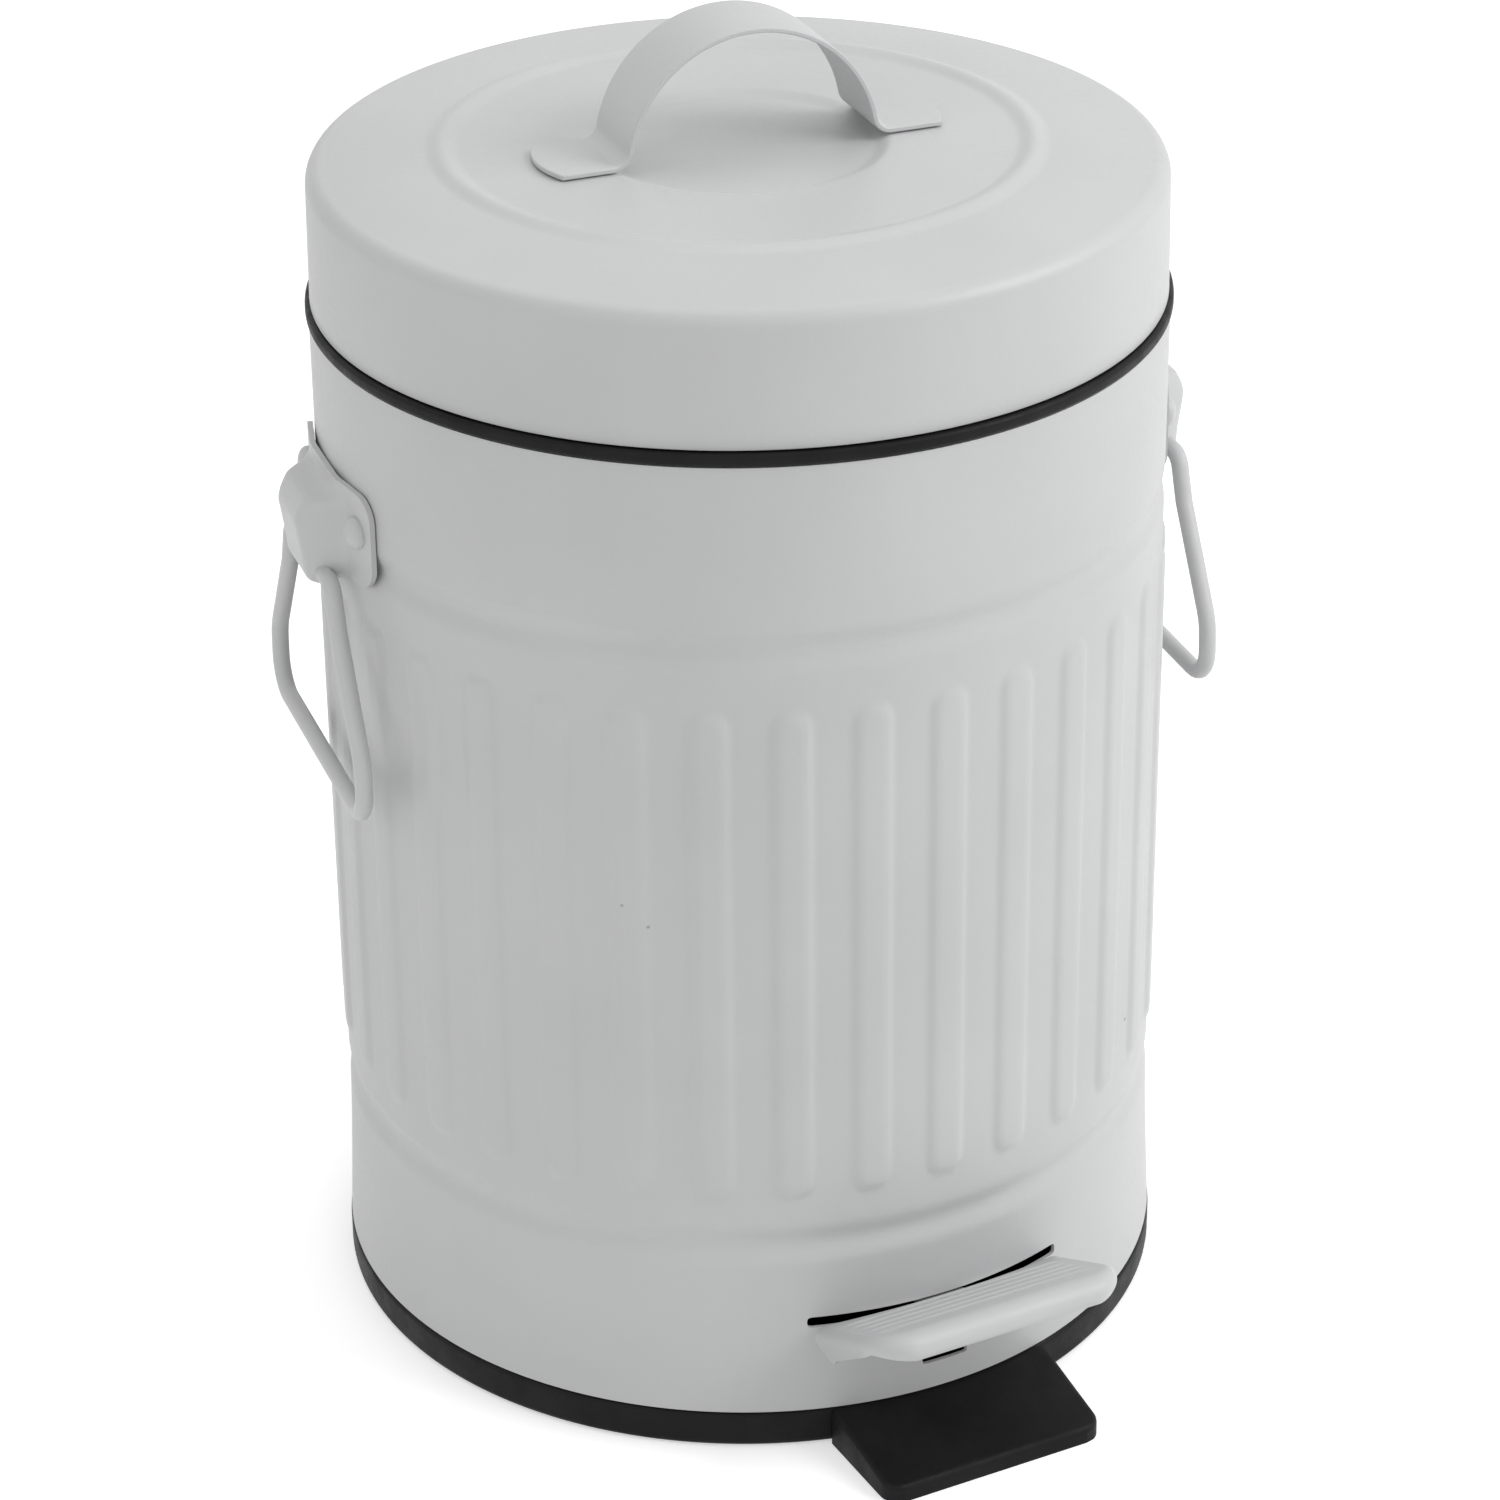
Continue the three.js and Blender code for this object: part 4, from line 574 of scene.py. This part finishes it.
class BINLOOKS_OT_ring(bpy.types.Operator):
    """Rim ring: a turned section with soft edges, open at the hinge"""

    bl_idname = "binlooks.ring"
    bl_label = "Rim ring"

    def execute(self, context):
        turn = np.linspace(0, np.pi / 2, 6)
        top = np.stack([83.7 + 0.9 * np.cos(turn), 215.2 + 0.9 * np.sin(turn)], -1)
        bottom = np.stack([83.9 + 0.7 * np.cos(-turn[::-1]), 214.2 + 0.7 * np.sin(-turn[::-1])], -1)
        bore, skirt_inside, skirt_outside, skirt_foot, ledge = 76.0, 80.7, 82.9, 206.5, 213.5
        under = [[bore, ledge], [skirt_inside, ledge], [skirt_inside, skirt_foot],
                 [skirt_outside, skirt_foot], [skirt_outside, ledge]]
        profile = np.vstack([under, bottom, top, [[bore + 0.5, 216.1]], [[bore, 215.6]]])
        gap_half, outside = 9.5, 84.6
        half = math.asin(gap_half / outside)
        angle = np.linspace(np.pi / 2 + half, np.pi / 2 - half + 2 * np.pi, 220)
        points = np.stack([profile[:, :1] * np.cos(angle), profile[:, :1] * np.sin(angle),
                           np.broadcast_to(profile[:, 1:], (len(profile), len(angle)))], -1)
        rows, columns = points.shape[:2]
        faces = grid_quads(rows, columns, True, False).tolist()
        faces += [[r * columns for r in range(rows)], [r * columns + columns - 1 for r in range(rows)][::-1]]
        put("rim_band", points, faces, black_plastic(), "bin", ["rim_ring"])
        return {"FINISHED"}


# ---- Lid ----


def lid_height(r):
    """Height of the lid's top at a radius: a low crown that falls with the square of the way from the
    ring to the edge, a rounded embossed ring and a shallow dish."""
    s = sizes()
    fillet = s.lid_top_radius - s.lid_fillet
    share = np.clip((r - s.bead_radius) / (fillet - s.bead_radius), 0, None)
    bead_height, bead_half, dish_slope = 0.9, 3.4, 3.6
    bead = bead_height * smooth(1 - np.abs(r - s.bead_radius) / bead_half)
    dish = smooth((s.dish_radius - r) / dish_slope + 0.5)
    return s.lid_plateau - (s.lid_plateau - s.lid_edge) * share**2 + bead - dish


class BINLOOKS_OT_lid(bpy.types.Operator):
    """Lid: a turned shell whose top follows a height over the radius, with a rounded edge and a plain
    skirt"""

    bl_idname = "binlooks.lid"
    bl_label = "Lid"

    def execute(self, context):
        s = sizes()
        sheet = 0.7
        fillet = s.lid_top_radius - s.lid_fillet
        r = np.concatenate([[0.02, 10, 20], np.arange(24, 32.5, 0.55), np.arange(36, 53, 4.0),
                            np.arange(53.4, 61, 0.45), np.arange(63, fillet - 1, 3.0), [fillet - 0.6]])
        turn = np.linspace(np.pi / 2, 0, 10)

        def edge(inset):
            """The rounded edge, drawn in by an inset."""
            return np.stack([fillet + (s.lid_fillet - inset) * np.cos(turn),
                             s.lid_edge - s.lid_fillet + (s.lid_fillet - inset) * np.sin(turn)], -1)

        top = np.stack([r, lid_height(r)], -1)
        skirt_top = s.lid_edge - s.lid_fillet
        drop = np.linspace(skirt_top, LID_LOW, 8)[1:]
        share = (skirt_top - drop) / (skirt_top - LID_LOW)
        grow = s.lid_top_radius + (s.lid_radius - s.lid_top_radius) * share
        skirt = np.stack([grow, drop], -1)
        skirt[-1, 1] += 0.25
        lip = np.array([[s.lid_radius - 0.12, LID_LOW + 0.06], [s.lid_radius - 0.35, LID_LOW],
                        [s.lid_radius - 0.6, LID_LOW + 0.1]])
        inside = np.vstack([skirt[::-1] - [sheet, 0], edge(sheet)[::-1], top[::-1] - [0, sheet]])
        profile = np.vstack([top, edge(0), skirt, lip, inside])
        points, quads = turned(profile, 256)
        put("lid_pressing", points, quads[:, ::-1], paint(), "lid", ["lid_shell"])
        return {"FINISHED"}


class BINLOOKS_OT_strap(bpy.types.Operator):
    """Strap: a flat band carried along an arch with two bends and flat feet whose ends bow out"""

    bl_idname = "binlooks.strap"
    bl_label = "Strap handle"

    def execute(self, context):
        s = sizes()
        thick, bend, radius, gap, foot_end, foot_bow = 1.0, 3.5, 25.5, 0.3, 41.0, 2.2
        columns, foot_rows = 25, 8
        foot = s.lid_plateau + gap + thick / 2
        centre = s.lid_plateau - thick
        lift = foot + bend - centre
        reach = math.sqrt((radius + bend) ** 2 - lift**2)
        lean = math.atan2(lift, reach)
        small = np.linspace(-np.pi / 2, -np.pi + lean, 12)
        arch = np.linspace(lean, np.pi / 2, 40)
        u = np.linspace(-1, 1, columns)
        half = s.strap_width / 2
        end = foot_end - foot_bow * u**2
        flat = np.linspace(1, 0, foot_rows)
        side_x = np.concatenate([
            reach + flat[:, None] * (end - reach)[None, :],
            np.repeat((reach + bend * np.cos(small[1:]))[:, None], columns, 1),
            np.repeat((radius * np.cos(arch[1:]))[:, None], columns, 1)])
        side_z = np.concatenate([
            np.full(foot_rows, foot), foot + bend + bend * np.sin(small[1:]),
            centre + radius * np.sin(arch[1:])])
        x = np.concatenate([side_x, -side_x[:-1][::-1]])
        z = np.concatenate([side_z, side_z[:-1][::-1]])
        points = np.stack([x, np.broadcast_to(u * half, x.shape), np.repeat(z[:, None], columns, 1)], -1)
        away = normals(points)
        outer, inner = points + away * thick / 2, points - away * thick / 2
        turn = math.radians(-6)
        cos, sin = math.cos(turn), math.sin(turn)
        spin = np.array([[cos, sin, 0], [-sin, cos, 0], [0, 0, 1]])
        shape, faces = thicken(outer.reshape(-1, 3) @ spin, inner.reshape(-1, 3) @ spin, grid_quads(*x.shape))
        put("lid_strap", shape, faces, paint(), "lid", ["lid_handle"], bevel=0.22)
        return {"FINISHED"}


# ---- Side handles ----


def around(side):
    """Axes of a side handle: out from the body, along its surface, and up."""
    turn = math.radians(SIDES[side])
    return (math.cos(turn), math.sin(turn), 0.0), (-math.sin(turn), math.cos(turn), 0.0), (0.0, 0.0, 1.0)


def hood_line(samples):
    """The hood's middle section as [distance from the axis, height], evenly spaced: down the wall,
    out over a shelf and its shoulder, in along a plane, then a circle around the wire."""
    turn = np.linspace(0, -math.radians(112), 14)
    round_wire = 3.2
    under = np.stack([WIRE_OUT + round_wire * np.cos(turn), WIRE_HIGH + round_wire * np.sin(turn)], -1)
    wall = [[85.4, EAR_HIGH], [85.4, 189.4], [85.7, 188.4]]
    shelf = [[86.5, 187.7], [88.0, 187.2], [89.8, 186.9]]
    shoulder = [[90.7, 186.4], [91.3, 185.6], [92.3, 183.6], [92.7, 182.4], [92.8, 181.2], [92.6, 179.8]]
    line = np.vstack([wall, shelf, shoulder, [[91.7, 174.0]], under])
    run = np.concatenate([[0], np.cumsum(np.linalg.norm(np.diff(line, axis=0), axis=1))])
    at = np.linspace(0, run[-1], samples)
    return np.stack([np.interp(at, run, line[:, 0]), np.interp(at, run, line[:, 1])], -1)


def ear_surface(across, down):
    """An ear plate: a flat flange bent to the body's radius, which rises smoothly into the hood
    near its middle; the outline has rounded corners."""
    flange, half, corner, foot = 85.4, 23.0, 5.0, 172.0
    hood_half, hood_slope = 6.5, 7.2
    run = np.maximum(np.abs(across) - (half - corner), 0)
    trim = corner - np.sqrt(np.maximum(corner**2 - run**2, 0))
    share = np.linspace(0, 1, down)[:, None]
    z = (EAR_HIGH - trim) + (foot + trim - (EAR_HIGH - trim)) * share
    angle = across / sizes().body_radius
    x, y = np.broadcast_to(flange * np.cos(angle), z.shape), np.broadcast_to(flange * np.sin(angle), z.shape)
    flat = np.stack([x, y, z], -1)
    line = hood_line(down)
    out, up = (np.repeat(line[:, i : i + 1], len(across), 1) for i in (0, 1))
    hood = np.stack([out, np.broadcast_to(across, z.shape), up], -1)
    rise = (1 - smooth((np.abs(across) - hood_half) / hood_slope))[None, :, None]
    return flat + (hood - flat) * rise


class BINLOOKS_OT_brackets(bpy.types.Operator):
    """Handle brackets: pressed ear plates with a hood over the wire"""

    bl_idname = "binlooks.brackets"
    bl_label = "Handle brackets"

    def execute(self, context):
        corner = -23 + 5 * (1 - np.cos(np.linspace(0, np.pi / 2, 12)))
        across = np.concatenate([
            corner, np.linspace(-17.6, -14, 6)[:-1], np.linspace(-14, -7.5, 22)[:-1],
            np.linspace(-7.5, 0, 8)])
        across = np.concatenate([across, -across[:-1][::-1]])
        rows, sheet = 56, 1.1
        points = ear_surface(across, rows)
        away = normals(points)
        outward = np.sign(np.sum(away * [1, 0, 0], -1, keepdims=True).mean())
        inner = points - away * outward * sheet
        quads = grid_quads(*points.shape[:2])
        quads = quads if outward > 0 else quads[:, ::-1]
        shape, faces = thicken(points.reshape(-1, 3), inner.reshape(-1, 3), quads)
        for side in SIDES:
            put(f"handle_ear_{side}", placed(shape, (0, 0, 0), *around(side)), faces, paint(), "bin",
                [f"handle_bracket_{side}"], bevel=0.2)
        return {"FINISHED"}


class BINLOOKS_OT_bails(bpy.types.Operator):
    """Side handles: round wire along a straight top, splayed legs and a straight grip"""

    bl_idname = "binlooks.bails"
    bl_label = "Side handles"

    def execute(self, context):
        half = np.array([[0.4, 0], [15.2, 0], [18.6, -9], [32, -30], [32.6, -43]])
        radii = [3.6, 9, 11, 6.5]
        corners = np.vstack([half, (half * [-1, 1])[::-1]])
        flat = np.concatenate([corners, np.zeros((len(corners), 1))], 1)
        path = rounded_path(flat, radii + radii[::-1], 10)
        local = np.stack([np.full(len(path), WIRE_OUT), path[:, 0], WIRE_HIGH + path[:, 1]], -1)
        shape, faces = wire(local, sizes().bail_radius)
        for side in SIDES:
            put(f"handle_wire_{side}", placed(shape, (0, 0, 0), *around(side)), faces, paint(),
                f"{side}_bail", [f"handle_bail_{side}"], sharp=60)
        return {"FINISHED"}


class BINLOOKS_OT_rivets(bpy.types.Operator):
    """Rivet heads: low domes on the ear plates and on the hinge's leaves"""

    bl_idname = "binlooks.rivets"
    bl_label = "Rivets"

    def execute(self, context):
        up = np.array([0.0, 0.0, 1.0])
        places = []
        for side, turn in SIDES.items():
            for i, step in enumerate((-17.6, 17.6)):
                angle = turn + math.degrees(step / sizes().body_radius)
                places.append((f"handle_rivet_{side}_{i + 1}", angle, 85.45, 183.0, 3.2, 2.3, "bin"))
        for side, step in (("right", -6.6), ("left", 6.6)):
            places.append((f"body_hinge_rivet_{side}", 90 + step, 85.55, 189.375, 2.5, 1.5, "bin"))
            places.append((f"lid_hinge_rivet_{side}", 90 + step, 85.2, 231.75, 2.5, 1.5, "lid"))
        for name, angle, radius, z, head, height, body in places:
            out = np.array([math.cos(math.radians(angle)), math.sin(math.radians(angle)), 0])
            points, faces = dome(head, height, 0.3)
            shape = placed(points, out * radius + up * z, np.cross(up, out), up, out)
            put(f"{name}_head", shape, faces, paint(), body, [name], sharp=60)
        return {"FINISHED"}


# ---- Pedal ----


def tread_top(y):
    """Height of the tread's top at y: a straight rise towards the front."""
    return 27.0 + (-78.905 - y) * TREAD_SLOPE


def tread_outline(half, front, rear):
    """The line where the tread's flat top ends, from the rear left corner around the front to the
    rear right corner: straight sides, front corners with a quarter circle, a straight front. Also
    the outward direction there, and the share of the way from the side round to the front."""
    corner, side_steps, nose_steps = 5.5, 80, 31
    side = np.linspace(0, 1, side_steps)
    turn = np.linspace(0, np.pi / 2, 18)[1:]
    nose = np.linspace(0, 1, nose_steps + 1)[1:]
    straight, zero, one = np.ones(side_steps), np.zeros(nose_steps), np.ones(nose_steps)
    x = np.concatenate([-half * straight, -half + corner * (1 - np.cos(turn)), (-half + corner) * (1 - nose)])
    y = np.concatenate([
        rear + (front + corner - rear) * side, front + corner * (1 - np.sin(turn)), front * one])
    out_x = np.concatenate([-straight, -np.cos(turn), zero])
    out_y = np.concatenate([0 * straight, -np.sin(turn), -one])
    share = np.concatenate([0 * straight, turn / (np.pi / 2), one])
    line = np.stack([x, y, out_x, out_y, share], -1)
    return np.vstack([line, line[:-1][::-1] * [-1, 1, -1, 1, 1]])


class BINLOOKS_OT_pedal(bpy.types.Operator):
    """Pedal tread: a flat ridged top whose rim is folded down along its outline, as an arc and then
    a plane that leans inwards, deep at the rear of the sides and rolled under at the nose; its rear
    edge follows the body, and a shank runs in through the slot"""

    bl_idname = "binlooks.pedal"
    bl_label = "Pedal tread"

    def execute(self, context):
        s = sizes()
        slope = math.atan(TREAD_SLOPE)
        fold, nose, nose_tip, spine_gap, wall_gap = 2.2, 3.1, -109.0, 5.0, 0.9
        half = s.tread_half - fold
        clear = s.foot_radius + wall_gap
        front = nose_tip + nose
        line = tread_outline(half, front, -math.sqrt(clear**2 - half**2))
        edge, out, share = line[:, :2], line[:, 2:4], line[:, 4]
        edge_y, round_front = edge[:, 1:], smooth(share)[:, None]
        count = len(line)
        # The flat top, in rows that curve from its middle line out to the outline.
        way = np.abs(np.linspace(-1, 1, count))
        spine = front + spine_gap + (-clear - front - spine_gap) * way
        inward = np.linspace(0, 1, 44)[:-1]
        x = edge[:, :1] * inward
        y = spine[:, None] + (edge_y - spine[:, None]) * inward**2
        ridge_height, ridge_half, ridge_step = 0.3, 0.95, 3.3
        ridge = np.zeros_like(y)
        for place in np.arange(-87.5, -102.5, -ridge_step):
            ridge += ridge_height * smooth(1 - np.abs(y - place) / ridge_half)
        ridge *= smooth((half - 1.2 - np.abs(x)) / 1.6)
        top = np.stack([x, y, tread_top(y) + ridge], -1)
        # The folded rim: its arc, then the plane down to the skirt's lower edge.
        radius = fold + (nose - fold) * round_front
        turn = np.linspace(0, 1, 13)[None] * np.radians(109 + 31 * round_front)
        skirt_low, skirt_rise = 22.4, 0.70
        low = skirt_low + skirt_rise * (-86.0 - edge[:, 1])
        last = turn[:, -1:]
        deep = np.maximum(tread_top(edge[:, 1]) - low, 3.4)[:, None] * (1 - round_front)
        plane = np.maximum(deep - radius * (1 - np.cos(last)), 0.3) / np.sin(last)
        run = np.linspace(0, 1, 15)[None, 1:] * plane
        away = np.hstack([radius * np.sin(turn), radius * np.sin(last) + run * np.cos(last)])
        drop = np.hstack([radius * (1 - np.cos(turn)), radius * (1 - np.cos(last)) + run * np.sin(last)])
        near_rear = smooth(1 + (edge_y - edge[0, 1]) / 7.0) * (share == 0)[:, None]
        sweep = 4.2 * (drop / 9.0) ** 2.4 * near_rear
        tilt = share[:, None]
        fall = (out[:, 1:] * away * TREAD_SLOPE + drop) * (1 - 0.1 * tilt)
        rim = np.stack([
            edge[:, :1] + out[:, :1] * away,
            edge_y + out[:, 1:] * away - sweep - drop * math.sin(slope) * tilt,
            tread_top(edge_y) - fall + TREAD_SLOPE * sweep], -1)
        points = np.concatenate([top, rim], 1)
        normal = normals(points)
        sign = 1.0 if normal[count // 4, 20][2] > 0 else -1.0
        under = points - normal * sign * s.tread_sheet
        under[:, 0, 0] = 0
        # The rows of both halves meet in the middle line, whose points become one.
        flat, index = np.unique(points.reshape(-1, 3).round(5), axis=0, return_inverse=True)
        below = np.zeros_like(flat)
        below[index.ravel()] = under.reshape(-1, 3)
        quads = index.ravel()[grid_quads(*points.shape[:2])]
        quads = quads[:, ::-1] if sign < 0 else quads
        sheet = thicken(flat, below, quads)
        shank_half, shank_drop, shank_thinner = 4.5, 0.45, 0.4
        across, along = np.meshgrid(np.linspace(-shank_half, shank_half, 9), np.linspace(-88, -51.7, 9))
        plate = np.stack([across, along, tread_top(along) - shank_drop], -1).reshape(-1, 3)
        square = np.array([0, math.sin(slope), math.cos(slope)])
        shank = thicken(plate, plate - square * (s.tread_sheet - shank_thinner), grid_quads(9, 9))
        shape, faces = stack(sheet, shank)
        put("pedal_pressing", shape, faces, paint(), "pedal", ["pedal_tread"], bevel=0.2)
        return {"FINISHED"}


# ---- Bucket and fittings ----


class BINLOOKS_OT_bucket(bpy.types.Operator):
    """Bucket: a finish for the pail, which keeps its CAD shape, and the wire hoop that lies on it"""

    bl_idname = "binlooks.bucket"
    bl_label = "Bucket"

    def execute(self, context):
        dress("bucket", grey_plastic())
        radius, height, start, steps = 72.5, 219.45, 0.052, 90
        turn = np.linspace(-start, -np.pi + start, steps)
        hoop = np.stack([radius * np.cos(turn), radius * np.sin(turn), np.full(steps, height)], -1)
        tip = np.array([[79.0, 0, height], [75.6, 0, height], [73.6, -0.8, height]])
        path = np.vstack([tip, hoop, (tip * [-1, 1, 1])[::-1]])
        shape, faces = wire(path, 1.25, 16)
        put("bucket_hoop", shape, faces, zinc(), "bucket_handle", ["bucket_bail"], 60)
        return {"FINISHED"}


def dress(node, material):
    """Gives a CAD node a finish in place of its plain one."""
    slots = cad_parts[node].material_slots
    if not len(slots):
        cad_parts[node].data.materials.append(material)
    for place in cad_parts[node].material_slots:
        place.material = material


class BINLOOKS_OT_fittings(bpy.types.Operator):
    """Hinge and pedal gear: the push rod as round wire, and finishes for the fittings that keep
    their CAD shape"""

    bl_idname = "binlooks.fittings"
    bl_label = "Hinge and pedal gear"

    def execute(self, context):
        low, high, back, tip, stem = 8.2035, 207.3065, 78, -4.4, 6.5
        corners = np.array([[tip, back, low], [stem, back, low], [stem, back, high], [tip, back, high]])
        shape, faces = wire(rounded_path(corners, [3, 3], 10), 1.5, 16)
        put("rod_wire", shape, faces, zinc(), "rod", ["push_rod"], 60)
        for node in ("body_hinge_leaf", "lid_hinge_leaf"):
            dress(node, paint())
        for node in ("hinge_pin", "rod_guide", "pedal_lever", "pedal_pin", "pedal_rivet_right",
                     "pedal_rivet_left"):
            dress(node, zinc())
        return {"FINISHED"}


# ---- Stage ----


def lamp(name, place, aim, width, height, power):
    """A soft area lamp that looks at a point."""
    data = bpy.data.lights.new(name, "AREA")
    data.shape = "RECTANGLE"
    data.size, data.size_y = width, height
    data.energy = power
    item = bpy.data.objects.new(name, data)
    item.location = place
    item.rotation_euler = (Vector(aim) - Vector(place)).to_track_quat("-Z", "Y").to_euler()
    bpy.context.scene.collection.objects.link(item)


def background_rays(tree):
    """The rays that show the white background: camera, glossy and transmission rays."""
    path = tree.nodes.new("ShaderNodeLightPath")
    found = path.outputs["Is Camera Ray"]
    for kind in ("Is Glossy Ray", "Is Transmission Ray"):
        either = tree.nodes.new("ShaderNodeMath")
        either.operation = "MAXIMUM"
        tree.links.new(found, either.inputs[0])
        tree.links.new(path.outputs[kind], either.inputs[1])
        found = either.outputs[0]
    return found


class BINLOOKS_OT_stage(bpy.types.Operator):
    """Stage: a plain pale floor, soft lamps, a white background and the camera at the photograph's angle"""

    bl_idname = "binlooks.stage"
    bl_label = "Floor, light and camera"

    def execute(self, context):
        scene = context.scene
        scene.view_settings.view_transform = "Standard"
        mesh = bpy.data.meshes.new("floor")
        mesh.from_pydata([(-6, -6, 0), (6, -6, 0), (6, 6, 0), (-6, 6, 0)], [], [(0, 1, 2, 3)])
        material, tree, shader, place = nodes_of("pale_floor")
        colour = scene.bin_colours.floor
        cloud = spread(tree, noise(tree, place, 3.0, 2.0), 0.0, 1.0, 0.4, 0.6)
        tree.links.new(blend(tree, cloud, shade(colour, 0.995), colour), shader.inputs["Base Color"])
        shader.inputs["Roughness"].default_value = 0.9
        shader.inputs["Specular IOR Level"].default_value = 0.1
        shader.inputs["Emission Color"].default_value = (1, 1, 1, 1)
        tree.links.new(spread(tree, background_rays(tree), 0.0, 0.45), shader.inputs["Emission Strength"])
        mesh.materials.append(material)
        floor = bpy.data.objects.new("floor", mesh)
        scene.collection.objects.link(floor)
        world = scene.world or bpy.data.worlds.new("studio")
        scene.world = world
        world.use_nodes = True
        links, nodes = world.node_tree.links, world.node_tree.nodes
        nodes.clear()
        soft, white = nodes.new("ShaderNodeBackground"), nodes.new("ShaderNodeBackground")
        soft.inputs["Strength"].default_value = 0.55
        white.inputs["Strength"].default_value = 1.0
        for item in (soft, white):
            item.inputs["Color"].default_value = (1, 1, 1, 1)
        mix = nodes.new("ShaderNodeMixShader")
        links.new(background_rays(world.node_tree), mix.inputs[0])
        links.new(soft.outputs[0], mix.inputs[1])
        links.new(white.outputs[0], mix.inputs[2])
        output = nodes.new("ShaderNodeOutputWorld")
        links.new(mix.outputs[0], output.inputs["Surface"])
        middle = (0.0, 0.0, 0.12)
        lamp("key", (0.9, -0.75, 0.95), middle, 0.8, 0.8, 9.5)
        lamp("fill", (-1.2, -0.5, 0.6), middle, 1.0, 1.0, 2.4)
        lamp("top", (0.1, 0.3, 1.5), middle, 1.2, 1.2, 4.2)
        place = Vector((-0.39437, -0.76736, 0.55902))
        aim = Vector((0.00100, -0.00053, 0.11281))
        camera = bpy.data.cameras.new("camera")
        camera.sensor_width = 36.0
        camera.lens = 113.63
        camera.clip_end = 50.0
        item = bpy.data.objects.new("camera", camera)
        look = (aim - place).to_track_quat("-Z", "Y").to_matrix().to_4x4()
        item.matrix_world = Matrix.Translation(place) @ look @ Matrix.Rotation(-0.0108, 4, "Z")
        scene.collection.objects.link(item)
        scene.camera = item
        return {"FINISHED"}


class BINLOOKS_PT_panel(bpy.types.Panel):
    """Lists the bin's sizes, its colours and the steps that build it."""

    bl_idname = "BINLOOKS_PT_panel"
    bl_label = "Pedal Bin"
    bl_space_type = "VIEW_3D"
    bl_region_type = "UI"
    bl_category = "Pedal Bin"

    def draw(self, context):
        for group in (context.scene.bin_sizes, context.scene.bin_colours):
            for name in group.bl_rna.properties.keys():
                if name not in ("rna_type", "name"):
                    self.layout.prop(group, name)
        for step in STEPS:
            self.layout.operator(step.bl_idname)


STEPS = (
    BINLOOKS_OT_stage, BINLOOKS_OT_body, BINLOOKS_OT_base, BINLOOKS_OT_ring, BINLOOKS_OT_lid,
    BINLOOKS_OT_strap, BINLOOKS_OT_brackets, BINLOOKS_OT_bails, BINLOOKS_OT_rivets, BINLOOKS_OT_pedal,
    BINLOOKS_OT_bucket, BINLOOKS_OT_fittings)
CLASSES = (BinSizes, BinColours, *STEPS, BINLOOKS_PT_panel)


def register():
    """Registers the classes and hangs the sizes and colours on the scene."""
    for item in CLASSES:
        bpy.utils.register_class(item)
    bpy.types.Scene.bin_sizes = PointerProperty(type=BinSizes)
    bpy.types.Scene.bin_colours = PointerProperty(type=BinColours)


def unregister():
    """Takes the sizes, colours and classes away again."""
    del bpy.types.Scene.bin_colours
    del bpy.types.Scene.bin_sizes
    for item in reversed(CLASSES):
        bpy.utils.unregister_class(item)


def main():
    """Builds every piece in order."""
    register()
    for step in STEPS:
        family, action = step.bl_idname.split(".")
        getattr(getattr(bpy.ops, family), action)()


if __name__ == "__main__":
    main()
